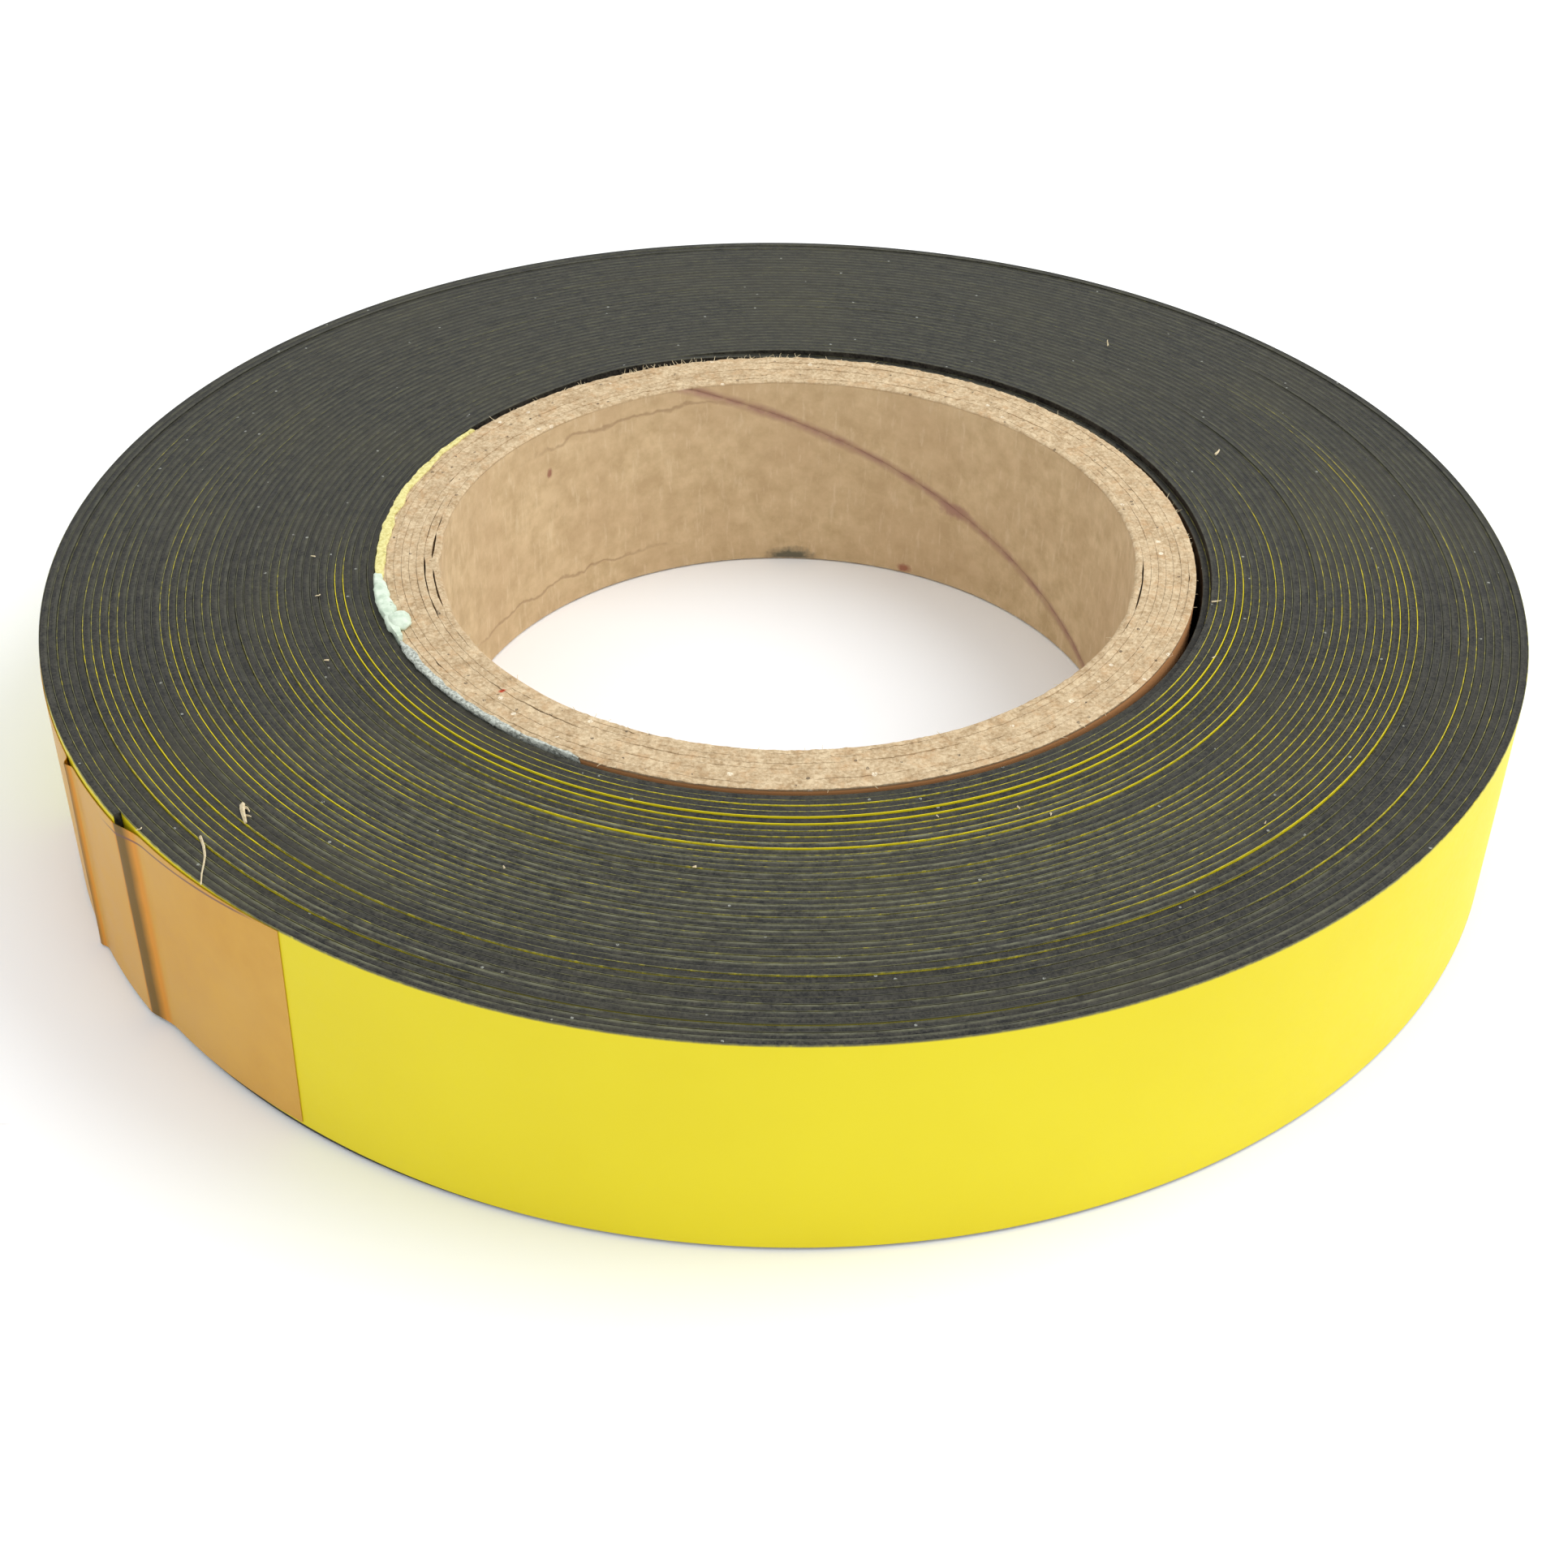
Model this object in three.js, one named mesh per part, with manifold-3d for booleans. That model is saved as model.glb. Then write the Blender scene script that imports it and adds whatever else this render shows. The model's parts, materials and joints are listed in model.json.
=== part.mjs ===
// A roll of flexible magnetic strip with a yellow vinyl face, wound on a cardboard core.
// The free end is held down by a short piece of brown packing tape.
// Millimetres, +Z up. The origin is on the roll's axis, at the surface that the roll lies on.
// Angles are in degrees, counter-clockwise seen from above, and the front of the roll is at 270.
import * as THREE from "three";
import { mergeVertices } from "three/addons/utils/BufferGeometryUtils.js";
import Module from "manifold-3d";

// Cardboard core: a spiral-wound tube of paperboard plies.
const BORE_RADIUS = 38.1;
const PLY_COUNT = 8;
const PLY_PITCH = 0.8125;
const PLY_GLUE_GAP = 0.03;
const CORE_LENGTH = 25.6;
const CORE_RADIUS = BORE_RADIUS + PLY_COUNT * PLY_PITCH - PLY_GLUE_GAP;
const SEAM_WIDTH = 0.4;
const SEAM_TWIST = 95; // degrees that a ply's seam turns along the core
const SEAM_SPACING = 137.5; // degrees from one ply's seam to the next
const FIRST_SEAM = 15; // where the inner ply's seam meets the base

// Magnetic strip: ferrite rubber with a vinyl face on its outer side.
const FERRITE_THICKNESS = 0.73;
const BOND_GAP = 0.01;
const VINYL_THICKNESS = 0.08;
const STRIP_THICKNESS = FERRITE_THICKNESS + BOND_GAP + VINYL_THICKNESS;
const STRIP_WIDTH = 25;
const VINYL_EDGE_INSET = 0.3; // bare ferrite below the vinyl
const TURN_PITCH = 0.87;
const END_GAP = 0.05; // between two sections of the strip

// The spiral. A strip angle runs on from turn to turn, and the strip's outer end is at its largest value.
const ANGLE_STEP = 5;
const OUTER_END_ANGLE = 218.5;
const GROUP_TURNS = [7, 7, 8, 8, 7];
const LINK_COUNT = 6;
const LINK_ANGLE = 15;
const INNER_TURN_SWEEP = 340;
const INNER_START_RADIUS = 44.9;
const SLACK_BULGE = 1.25; // how far the loose inner turns stand off the core at the back
const SLACK_DIRECTION = 80;
const SLACK_ROUNDNESS = 1.5;
const FREE_SWEEP = LINK_COUNT * LINK_ANGLE;
const PACKED_TURNS = GROUP_TURNS.reduce((sum, turns) => sum + turns, 0);
const TOTAL_SWEEP = INNER_TURN_SWEEP + (PACKED_TURNS + 1) * 360 + FREE_SWEEP;
const OUTER_END = 39 * 360 + OUTER_END_ANGLE;
const INNER_START = OUTER_END - TOTAL_SWEEP;
const GROUPS_START = INNER_START + INNER_TURN_SWEEP;
const OUTER_TURN_START = GROUPS_START + PACKED_TURNS * 360;
const FREE_START = OUTER_TURN_START + 360;

// Edges of the turns stand at slightly different heights, because the roll has telescoped a little.
const GROUP_LIFTS = [0, 0.25, 0.15, 0.3, 0.1];
const OUTER_LIFT = 0.2;
const INNER_TURN_HEIGHT = 24.6;

// Closing tape, over the strip's outer end and the turn beneath it.
const TAPE_THICKNESS = 0.08;
const TAPE_LIFT = 0.04; // adhesive between the tape and the vinyl
const TAPE_LOW = 0.7;
const TAPE_HIGH = 24.7;
const TAPE_START = OUTER_END - 25;
const TAPE_FOLD = OUTER_END + 10;
const TAPE_TIP = OUTER_END + 17.5;
const TAPE_BRIDGE = 3; // degrees over which the tape comes down from the strip's end

// Foam tape and glue that hold the strip's first turn on the core.
const FOAM_CLEARANCE = 0.06;
const FOAM_LOW = 0.4;
const FOAM_HIGH = 25.2;
const YELLOW_FOAM = { from: 148.5, to: 190 };
const GLUE_BEAD = { from: 191.5, to: 206.5 };
const GREY_FOAM = { from: 208, to: 241 };

const wasm = await Module();
wasm.setup();

const material = (name, color, roughness) =>
  new THREE.MeshStandardMaterial({ name, color, roughness, metalness: 0 });
const cardboard = material("cardboard", 0xd0a878, 0.9);
const ferrite = material("ferrite_rubber", 0x3f3f3c, 0.8);
const vinyl = material("yellow_vinyl", 0xf6e63a, 0.45);
const packingTape = material("packing_tape", 0xcba04b, 0.35);
const yellowFoam = material("yellow_foam", 0xe2d96a, 0.95);
const mintGlue = material("mint_glue", 0xd2e2cf, 0.8);
const greyFoam = material("grey_foam", 0xaeb8a6, 0.95);

const radians = THREE.MathUtils.degToRad;

// Inner radius of the strip at a strip angle. The inner turns bulge at the back and the outer ones are true.
function stripRadius(angle) {
  const turns = (angle - INNER_START) / 360;
  const looseness = 1 - (angle - INNER_START) / TOTAL_SWEEP;
  const facing = Math.max(0, Math.cos(radians(angle - SLACK_DIRECTION)));
  const bulge = SLACK_BULGE * facing ** SLACK_ROUNDNESS * looseness;
  return INNER_START_RADIUS + TURN_PITCH * turns + bulge;
}

const polar = (radius, angle) =>
  new THREE.Vector2(radius * Math.cos(radians(angle)), radius * Math.sin(radians(angle)));

// Points along a curve from one angle to another. Between the ends they lie on one shared grid of angles,
// so that the flats of neighbouring pieces are parallel.
function arc(radiusAt, from, to) {
  const points = [polar(radiusAt(from), from)];
  const first = Math.floor((from - OUTER_END) / ANGLE_STEP) + 1;
  for (let step = first; OUTER_END + step * ANGLE_STEP < to - 0.5; step += 1) {
    const angle = OUTER_END + step * ANGLE_STEP;
    if (angle > from + 0.5) points.push(polar(radiusAt(angle), angle));
  }
  points.push(polar(radiusAt(to), to));
  return points;
}

function prism(shape, low, high) {
  const geometry = new THREE.ExtrudeGeometry(shape, { depth: high - low, bevelEnabled: false });
  return geometry.translate(0, 0, low);
}

// A curved band between two curves, from one angle to another.
function band(innerAt, outerAt, from, to, low, high) {
  const outline = [...arc(outerAt, from, to), ...arc(innerAt, from, to).reverse()];
  return prism(new THREE.Shape(outline), low, high);
}

// One layer of the strip between two strip angles.
function stripLayer(depth, thickness, from, to, low, high) {
  const innerAt = (angle) => stripRadius(angle) + depth;
  const outerAt = (angle) => stripRadius(angle) + depth + thickness;
  return band(innerAt, outerAt, from, to, low, high);
}

// Several turns pressed together: the first turn's inner face, the last turn's outer face, and a step in each.
function turnGroup(from, turns, low, high) {
  const last = from + (turns - 1) * 360;
  const gapAngle = THREE.MathUtils.radToDeg(END_GAP / stripRadius(last));
  const faceAt = (angle) => stripRadius(angle) + STRIP_THICKNESS;
  const outer = arc(faceAt, last, last + 360 - gapAngle);
  const shape = new THREE.Shape(outer);
  shape.holes.push(new THREE.Path(arc(stripRadius, from, from + 360).reverse()));
  return prism(shape, low, high);
}

function solidOf(geometry) {
  geometry.deleteAttribute("normal");
  geometry.deleteAttribute("uv");
  const merged = mergeVertices(geometry, 1e-4);
  const mesh = new wasm.Mesh({
    numProp: 3,
    vertProperties: merged.attributes.position.array,
    triVerts: new Uint32Array(merged.index.array),
  });
  return new wasm.Manifold(mesh);
}

function geometryOf(solid) {
  const mesh = solid.getMesh();
  const geometry = new THREE.BufferGeometry();
  geometry.setAttribute("position", new THREE.BufferAttribute(mesh.vertProperties, 3));
  geometry.setIndex(new THREE.BufferAttribute(mesh.triVerts, 1));
  geometry.computeVertexNormals();
  return geometry;
}

// A thin wall that climbs round the axis, to cut a ply's seam with.
function seamCutter(startAngle, inner, outer, low, high) {
  const steps = SEAM_TWIST / ANGLE_STEP;
  const halfWidth = THREE.MathUtils.radToDeg(SEAM_WIDTH / 2 / inner);
  const positions = [];
  for (let step = 0; step <= steps; step += 1) {
    const angle = startAngle + step * ANGLE_STEP;
    const height = low + ((high - low) * step) / steps;
    for (const [radius, side] of [[inner, -1], [outer, -1], [outer, 1], [inner, 1]]) {
      const point = polar(radius, angle + side * halfWidth);
      positions.push(point.x, point.y, height);
    }
  }
  const faces = [0, 2, 1, 0, 3, 2];
  for (let step = 0; step < steps; step += 1) {
    for (let side = 0; side < 4; side += 1) {
      const a = step * 4 + side;
      const b = step * 4 + ((side + 1) % 4);
      faces.push(a, b, a + 4, b, b + 4, a + 4);
    }
  }
  const top = steps * 4;
  faces.push(top, top + 1, top + 2, top, top + 2, top + 3);
  const geometry = new THREE.BufferGeometry();
  geometry.setAttribute("position", new THREE.Float32BufferAttribute(positions, 3));
  geometry.setIndex(faces);
  return geometry;
}

// One ply of the core: a tube open along one seam, which climbs as the board was wound.
function plyGeometry(index) {
  const inner = BORE_RADIUS + index * PLY_PITCH;
  const outer = inner + PLY_PITCH - PLY_GLUE_GAP;
  const circle = (radius) => {
    const points = arc(() => radius, OUTER_END_ANGLE, OUTER_END_ANGLE + 360);
    points.pop();
    return points;
  };
  const shape = new THREE.Shape(circle(outer));
  shape.holes.push(new THREE.Path(circle(inner).reverse()));
  const tube = prism(shape, 0, CORE_LENGTH);
  const overrun = 1;
  const cutter = seamCutter(
    FIRST_SEAM + index * SEAM_SPACING, inner - overrun, outer + overrun, -overrun, CORE_LENGTH + overrun,
  );
  return geometryOf(solidOf(tube).subtract(solidOf(cutter)));
}

const roll = new THREE.Group();

function add(name, geometry, finish) {
  const mesh = new THREE.Mesh(geometry, finish);
  mesh.name = name;
  roll.add(mesh);
}

function addCore() {
  for (let index = 0; index < PLY_COUNT; index += 1) {
    add(`core_ply_${index + 1}`, plyGeometry(index), cardboard);
  }
}

// What holds the first turn lies between the core and the strip.
function addFixing() {
  const innerAt = () => CORE_RADIUS + FOAM_CLEARANCE;
  const outerAt = (angle) => stripRadius(angle) - FOAM_CLEARANCE;
  const piece = ({ from, to }, low, high) => band(innerAt, outerAt, from, to, low, high);
  add("yellow_foam_tape", piece(YELLOW_FOAM, FOAM_LOW, FOAM_HIGH), yellowFoam);
  add("glue_bead", piece(GLUE_BEAD, FOAM_HIGH / 2, FOAM_HIGH), mintGlue);
  add("grey_foam_tape", piece(GREY_FOAM, FOAM_LOW, FOAM_HIGH), greyFoam);
}

// A stretch of the strip as its two layers.
function addStrip(name, from, to, low, high) {
  const vinylDepth = FERRITE_THICKNESS + BOND_GAP;
  const vinylLow = low + VINYL_EDGE_INSET;
  add(`${name}_ferrite`, stripLayer(0, FERRITE_THICKNESS, from, to, low, high), ferrite);
  add(`${name}_vinyl`, stripLayer(vinylDepth, VINYL_THICKNESS, from, to, vinylLow, high), vinyl);
}

function addWoundStrip() {
  const gapAngle = THREE.MathUtils.radToDeg(END_GAP / BORE_RADIUS);
  addStrip("inner_turn", INNER_START, GROUPS_START - gapAngle, 0, INNER_TURN_HEIGHT);
  let start = GROUPS_START;
  GROUP_TURNS.forEach((turns, index) => {
    const lift = GROUP_LIFTS[index];
    add(`turn_group_${index + 1}`, turnGroup(start, turns, lift, lift + STRIP_WIDTH), ferrite);
    start += turns * 360;
  });
  addStrip("outer_turn", OUTER_TURN_START, FREE_START, OUTER_LIFT, OUTER_LIFT + STRIP_WIDTH);
}

// The free end bends between its links, each on a hinge line at the strip's outer face.
function addFreeEnd() {
  const gapAngle = THREE.MathUtils.radToDeg(END_GAP / stripRadius(OUTER_END));
  for (let index = 0; index < LINK_COUNT; index += 1) {
    const from = FREE_START + index * LINK_ANGLE + gapAngle;
    const to = FREE_START + (index + 1) * LINK_ANGLE;
    addStrip(`free_end_${index + 1}`, from, to, OUTER_LIFT, OUTER_LIFT + STRIP_WIDTH);
  }
}

function addClosingTape() {
  const faceBelow = (angle) => stripRadius(angle - 360) + STRIP_THICKNESS;
  const faceAt = (angle) => {
    if (angle <= OUTER_END) return stripRadius(angle) + STRIP_THICKNESS;
    const fall = THREE.MathUtils.smoothstep(angle, OUTER_END, OUTER_END + TAPE_BRIDGE);
    return THREE.MathUtils.lerp(stripRadius(OUTER_END) + STRIP_THICKNESS, faceBelow(angle), fall);
  };
  const innerAt = (angle) => faceAt(angle) + TAPE_LIFT;
  const outerAt = (angle) => innerAt(angle) + TAPE_THICKNESS;
  const gapAngle = THREE.MathUtils.radToDeg(END_GAP / stripRadius(OUTER_END));
  const lastLink = OUTER_END - LINK_ANGLE;
  const sections = [
    ["closing_tape_start", TAPE_START, lastLink],
    ["closing_tape_middle", lastLink + gapAngle, OUTER_END],
    ["closing_tape_tail", OUTER_END + gapAngle, TAPE_FOLD],
    ["closing_tape_tip", TAPE_FOLD + gapAngle, TAPE_TIP],
  ];
  for (const [name, from, to] of sections) {
    add(name, band(innerAt, outerAt, from, to, TAPE_LOW, TAPE_HIGH), packingTape);
  }
}

addCore();
addFixing();
addWoundStrip();
addFreeEnd();
addClosingTape();

export default roll;
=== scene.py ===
# %% [markdown]
# # A roll of magnetic strip
#
# The object is fifteen metres of flexible magnetic strip, wound edge on round a cardboard core. The
# strip is dark ferrite rubber with a thin yellow vinyl face on its outer side, and its free end is
# held down by a short length of brown packing tape. The frame that is loaded first holds the exact
# sizes and the bodies that move. Everything below is built around it, in metres.

# %% Load the frame
import json
import math
import bpy
import numpy as np
from mathutils import Matrix, Vector

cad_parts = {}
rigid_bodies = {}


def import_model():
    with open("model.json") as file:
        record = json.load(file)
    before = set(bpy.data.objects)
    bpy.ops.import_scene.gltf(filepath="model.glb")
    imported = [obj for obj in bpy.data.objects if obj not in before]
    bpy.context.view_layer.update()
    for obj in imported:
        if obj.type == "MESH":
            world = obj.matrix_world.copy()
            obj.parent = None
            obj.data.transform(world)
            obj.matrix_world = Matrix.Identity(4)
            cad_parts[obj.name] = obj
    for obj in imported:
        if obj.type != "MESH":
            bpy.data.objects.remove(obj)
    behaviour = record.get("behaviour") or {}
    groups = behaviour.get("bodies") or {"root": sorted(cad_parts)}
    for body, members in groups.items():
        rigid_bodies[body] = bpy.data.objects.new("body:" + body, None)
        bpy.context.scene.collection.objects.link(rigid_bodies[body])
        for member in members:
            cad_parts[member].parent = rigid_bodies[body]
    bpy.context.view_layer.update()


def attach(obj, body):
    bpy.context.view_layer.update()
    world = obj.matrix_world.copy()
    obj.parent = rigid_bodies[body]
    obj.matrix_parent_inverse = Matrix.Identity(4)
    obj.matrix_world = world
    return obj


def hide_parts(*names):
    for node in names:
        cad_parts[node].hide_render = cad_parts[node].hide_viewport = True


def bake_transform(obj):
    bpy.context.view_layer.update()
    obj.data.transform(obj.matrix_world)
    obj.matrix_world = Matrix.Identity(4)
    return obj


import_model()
MM = 0.001

# %% [markdown]
# ## The spiral
#
# A wound strip is easiest to describe by one running angle, in degrees, that keeps growing from turn
# to turn. The inner turns are loose and bulge away from the core at the back, and that dies away
# towards the outside. The same few numbers drive the CAD frame, so the turns here lie inside its turn
# groups. A turn is numbered from 0 at the core, and starts where the strip itself starts, at 148.5
# degrees.

# %% Spiral dimensions
TURN_PITCH = 0.87 * MM
FERRITE_THICKNESS = 0.73 * MM
BOND_GAP = 0.01 * MM
VINYL_THICKNESS = 0.08 * MM
STRIP_THICKNESS = FERRITE_THICKNESS + BOND_GAP + VINYL_THICKNESS
STRIP_WIDTH = 25 * MM
INNER_START_RADIUS = 44.9 * MM
SLACK_BULGE = 1.25 * MM
SLACK_DIRECTION = 80
OUTER_END = 39 * 360 + 218.5
INNER_START = 148.5
GROUPS_START = INNER_START + 340
GROUP_TURNS = (7, 7, 8, 8, 7)
OUTER_TURN_START = GROUPS_START + sum(GROUP_TURNS) * 360
FREE_START = OUTER_TURN_START + 360
LINK_ANGLE = 15
LINK_COUNT = 6
OUTER_LIFT = 0.2 * MM


def strip_radius(angle):
    turns = (angle - INNER_START) / 360
    looseness = (OUTER_END - angle) / (OUTER_END - INNER_START)
    facing = np.maximum(0, np.cos(np.radians(angle - SLACK_DIRECTION)))
    return INNER_START_RADIUS + TURN_PITCH * turns + SLACK_BULGE * facing**1.5 * looseness


def running(turn, heading):
    """The running angle of a place on a turn. Headings go from 148.5 up to 508.5."""
    return 360 * turn + heading


strip_length = strip_radius(np.arange(INNER_START, OUTER_END)).sum() * math.radians(1)
print(f"{(OUTER_END - INNER_START) / 360:.1f} turns, {strip_length:.1f} m of strip")

# %% [markdown]
# ## How the edges stand
#
# Nobody winds fifteen metres of strip perfectly level. Next to the core the turns stand like a low
# stair, and further out single turns have slipped up by a tenth or two of a millimetre for part of
# their way round. Where a turn stands higher than the next one out, its yellow face shows as a bright
# line. That is what draws the pattern on the end of the roll, so it is modelled and not painted.

# %% Proud stretches: turn, heading where it starts, heading where it ends, height in mm
PROUD = (
    (1, 205, 330, 0.03),
    (2, 190, 262, 0.10),
    (2, 262, 350, 0.05),
    (3, 178, 372, 0.16),
    (4, 180, 355, 0.04),
    (6, 185, 240, 0.06),
    (8, 238, 302, 0.15),
    (9, 290, 372, 0.13),
    (9, 168, 212, 0.09),
    (10, 190, 236, 0.11),
    (11, 196, 252, 0.08),
    (12, 200, 266, 0.12),
    (13, 276, 330, 0.10),
    (14, 350, 392, 0.13),
    (16, 170, 206, 0.12),
    (18, 178, 214, 0.14),
    (19, 184, 226, 0.13),
    (20, 186, 229, 0.17),
    (21, 186, 222, 0.11),
    (23, 180, 214, 0.14),
    (24, 324, 384, 0.09),
    (25, 304, 356, 0.20),
    (27, 276, 312, 0.20),
    (28, 256, 290, 0.16),
    (29, 226, 268, 0.14),
    (29, 198, 232, 0.14),
    (30, 200, 228, 0.13),
    (31, 305, 396, 0.13),
    (32, 178, 216, 0.15),
    (33, 186, 222, 0.15),
    (34, 190, 250, 0.19),
    (34, 312, 354, 0.10),
    (35, 246, 290, 0.13),
    (37, 282, 340, 0.16),
)
STAIR_TURNS = 8
STAIR_HEIGHT = 0.42 * MM
KNOT_ANGLE = 40
JITTER = 0.03 * MM
random = np.random.default_rng(7)
knots = random.uniform(-1, 1, int(OUTER_END / KNOT_ANGLE) + 2)


def bell(value, low, high, soft):
    """1 between low and high, falling smoothly to 0 outside them."""
    rise = np.clip((value - low) / soft + 0.5, 0, 1)
    fall = np.clip((high - value) / soft + 0.5, 0, 1)
    share = np.minimum(rise, fall)
    return share * share * (3 - 2 * share)


def edge_lift(angle):
    turn = (angle - INNER_START) / 360
    heading = (angle - INNER_START) % 360 + INNER_START
    lift = 0.04 * MM + JITTER * np.interp(angle / KNOT_ANGLE, np.arange(len(knots)), knots)
    stair = STAIR_HEIGHT * np.clip(1 - turn / STAIR_TURNS, 0, 1)
    lift = lift + stair * bell(heading, 195, 350, 60)
    for number, start, end, height in PROUD:
        lift = lift + height * MM * bell(angle, running(number, start), running(number, end), 14)
    outer_share = np.clip((angle - OUTER_TURN_START) / 60 + 1, 0, 1)
    inner_share = np.clip((angle - GROUPS_START) / 60, 0, 1)
    return np.maximum(lift, 0) * (1 - outer_share) * inner_share + OUTER_LIFT * outer_share


wound = np.arange(GROUPS_START, OUTER_TURN_START)
print(f"edges stand up to {edge_lift(wound).max() / MM:.2f} mm off the level")

# %% [markdown]
# How much black rubber the knife has dragged over the thin yellow edge varies too. It is worst at the
# back, and it comes and goes in bands of a few turns. At the front the drag also wiped an olive film
# over the rubber itself. Both shares are stored on the strip for its materials to read. The bands are
# listed as pairs of a turn and how much cleaner or blacker its yellow edge is there.

# %% Smeared shares
LEFT_BANDS = (
    (0, 0.1), (2.5, 0.0), (3, -0.2), (5, -0.1), (6.5, 0.2), (8, 0.4), (9.5, 0.1), (10, -0.1),
    (14, -0.1), (16, 0.3), (17, 0.3), (18, -0.15), (20, -0.2), (21.3, 0.1), (22, -0.3), (25, -0.3),
    (26, 0.4),
    (28, 0.4), (29, -0.2), (32, -0.25), (34, -0.2), (35, 0.35), (36.5, 0.0), (38, 0.2),
)
RIGHT_BANDS = (
    (0, 0.2), (1.5, 0.0), (4.5, -0.1), (5.5, 0.3), (7, 0.15), (8.6, -0.25), (9.4, -0.25), (10, 0.15),
    (12, 0.35), (13.5, 0.0), (20, 0.0), (22, -0.05), (24.6, -0.3), (25.4, -0.3), (26, 0.3), (27, 0.5),
    (30, 0.35), (31.5, -0.1), (32.5, 0.1), (34, 0.4), (37, 0.5), (38, 0.2),
)
FILM_BANDS = (
    (4.6, 0.0), (5.5, 0.25), (7.5, 0.3), (8.2, 0.9), (9, 0.7), (13, 0.55), (15, 0.75), (22, 0.75),
    (24, 0.5), (26.4, 0.5), (27, 0.95), (27.8, 0.7), (28.4, 0.15), (33, 0.12), (33.6, 0.8),
    (34.2, 1.0), (34.8, 0.3), (36, 0.2), (36.8, 0.9), (37.4, 0.9), (38, 0.4),
)


def wavering(place):
    """A slow wander between -1 and 1 that repeats only after all the knots."""
    return np.interp(place, np.arange(len(knots)), knots, period=len(knots))


def banded(bands, turn):
    turns, shares = zip(*bands)
    return np.interp(turn, turns, shares)


def smear_share(angle):
    turn = (angle - INNER_START) / 360
    heading = (angle - INNER_START) % 360 + INNER_START
    slow = wavering(angle / 23 + 5)
    share = 0.53 + 0.20 * slow + 0.75 * (1 - bell(heading, 192, 372, 60))
    share += banded(LEFT_BANDS, turn) * bell(heading, 150, 240, 30)
    share += banded(RIGHT_BANDS, turn) * bell(heading, 298, 400, 30)
    share += 0.38 * bell(heading, 236, 302, 40) * bell(turn, 9, 60, 4)
    share += 0.30 * bell(heading, 226, 308, 40) * bell(turn, 30, 60, 2)
    beside_core = bell(turn, 3.0, 5.0, 0.4) * bell(heading, 186, 352, 30)
    beside_core += 0.6 * bell(turn, 8.0, 9.2, 0.4) * bell(heading, 236, 306, 20)
    return np.maximum(share - 0.75 * beside_core, 0.0)


def film_share(angle):
    turn = (angle - INNER_START) / 360
    heading = (angle - INNER_START) % 360 + INNER_START
    slow = wavering(angle / 31 + 9)
    share = (banded(FILM_BANDS, turn) + 0.25 * slow) * bell(heading, 222, 312, 36)
    return np.clip(share + 0.28 * (1 - bell(heading, 205, 350, 50)), 0, 1)


print(f"smeared share of the wound edge: {smear_share(wound).mean():.2f} on average")

# %% [markdown]
# ## Helpers for modelling
#
# Every operator works on what is selected, so each piece starts with nothing selected, and faces are
# then picked in code by where they point. A finished piece has its place in its mesh and its object
# at the origin.

# %% Selection and editing helpers


def start_fresh():
    if bpy.context.object and bpy.context.object.mode != "OBJECT":
        bpy.ops.object.mode_set(mode="OBJECT")
    bpy.ops.object.select_all(action="DESELECT")
    bpy.context.tool_settings.mesh_select_mode = (False, False, True)


def edit_faces(piece, wanted):
    """Edit mode with only the faces selected that the test wants."""
    bpy.ops.object.mode_set(mode="OBJECT")
    mesh = piece.data
    mesh.vertices.foreach_set("select", np.zeros(len(mesh.vertices), bool))
    mesh.edges.foreach_set("select", np.zeros(len(mesh.edges), bool))
    mesh.polygons.foreach_set("select", [bool(wanted(face)) for face in mesh.polygons])
    bpy.ops.object.mode_set(mode="EDIT")
    bpy.ops.mesh.select_mode(type="FACE")


def apply_modifier(piece, kind, **settings):
    modifier = piece.modifiers.new(kind.title(), kind)
    for name, value in settings.items():
        setattr(modifier, name, value)
    bpy.ops.object.modifier_apply(modifier=modifier.name)


def points_of(piece):
    points = np.zeros(len(piece.data.vertices) * 3, np.float32)
    piece.data.vertices.foreach_get("co", points)
    return points.reshape(-1, 3).astype(float)


def set_points(piece, points):
    piece.data.vertices.foreach_set("co", points.astype(np.float32).ravel())
    piece.data.update()


def finish_piece(piece, name, material, smooth_degrees=40):
    bpy.ops.object.mode_set(mode="OBJECT")
    piece.name = name
    piece.data.name = name
    bpy.ops.object.shade_smooth_by_angle(angle=math.radians(smooth_degrees))
    piece.data.materials.clear()
    piece.data.materials.append(material)
    return piece


# %% [markdown]
# ## Materials: small tools first
#
# A shader tree is a lot of small boxes. These helpers add a box with its settings and wires in one
# line, so that each finish below reads as a recipe.

# %% Node helpers


def put(tree, kind, inputs=None, **settings):
    node = tree.nodes.new(kind)
    for name, value in settings.items():
        setattr(node, name, value)
    for name, value in (inputs or {}).items():
        if isinstance(value, bpy.types.NodeSocket):
            tree.links.new(value, node.inputs[name])
        else:
            node.inputs[name].default_value = value
    return node


def math_node(tree, operation, first, second=0.5, third=0.5):
    inputs = {0: first, 1: second, 2: third}
    return put(tree, "ShaderNodeMath", inputs, operation=operation).outputs[0]


def mix_colour(tree, factor, first, second, blend="MIX"):
    inputs = {0: factor, 6: first, 7: second}
    return put(tree, "ShaderNodeMix", inputs, data_type="RGBA", blend_type=blend).outputs[2]


def span(tree, value, low, high, to_low=0.0, to_high=1.0):
    inputs = {"Value": value, "From Min": low, "From Max": high, "To Min": to_low, "To Max": to_high}
    return put(tree, "ShaderNodeMapRange", inputs).outputs[0]


def stretched(tree, vector, scale):
    inputs = {"Vector": vector, "Scale": scale}
    return put(tree, "ShaderNodeMapping", inputs).outputs[0]


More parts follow.
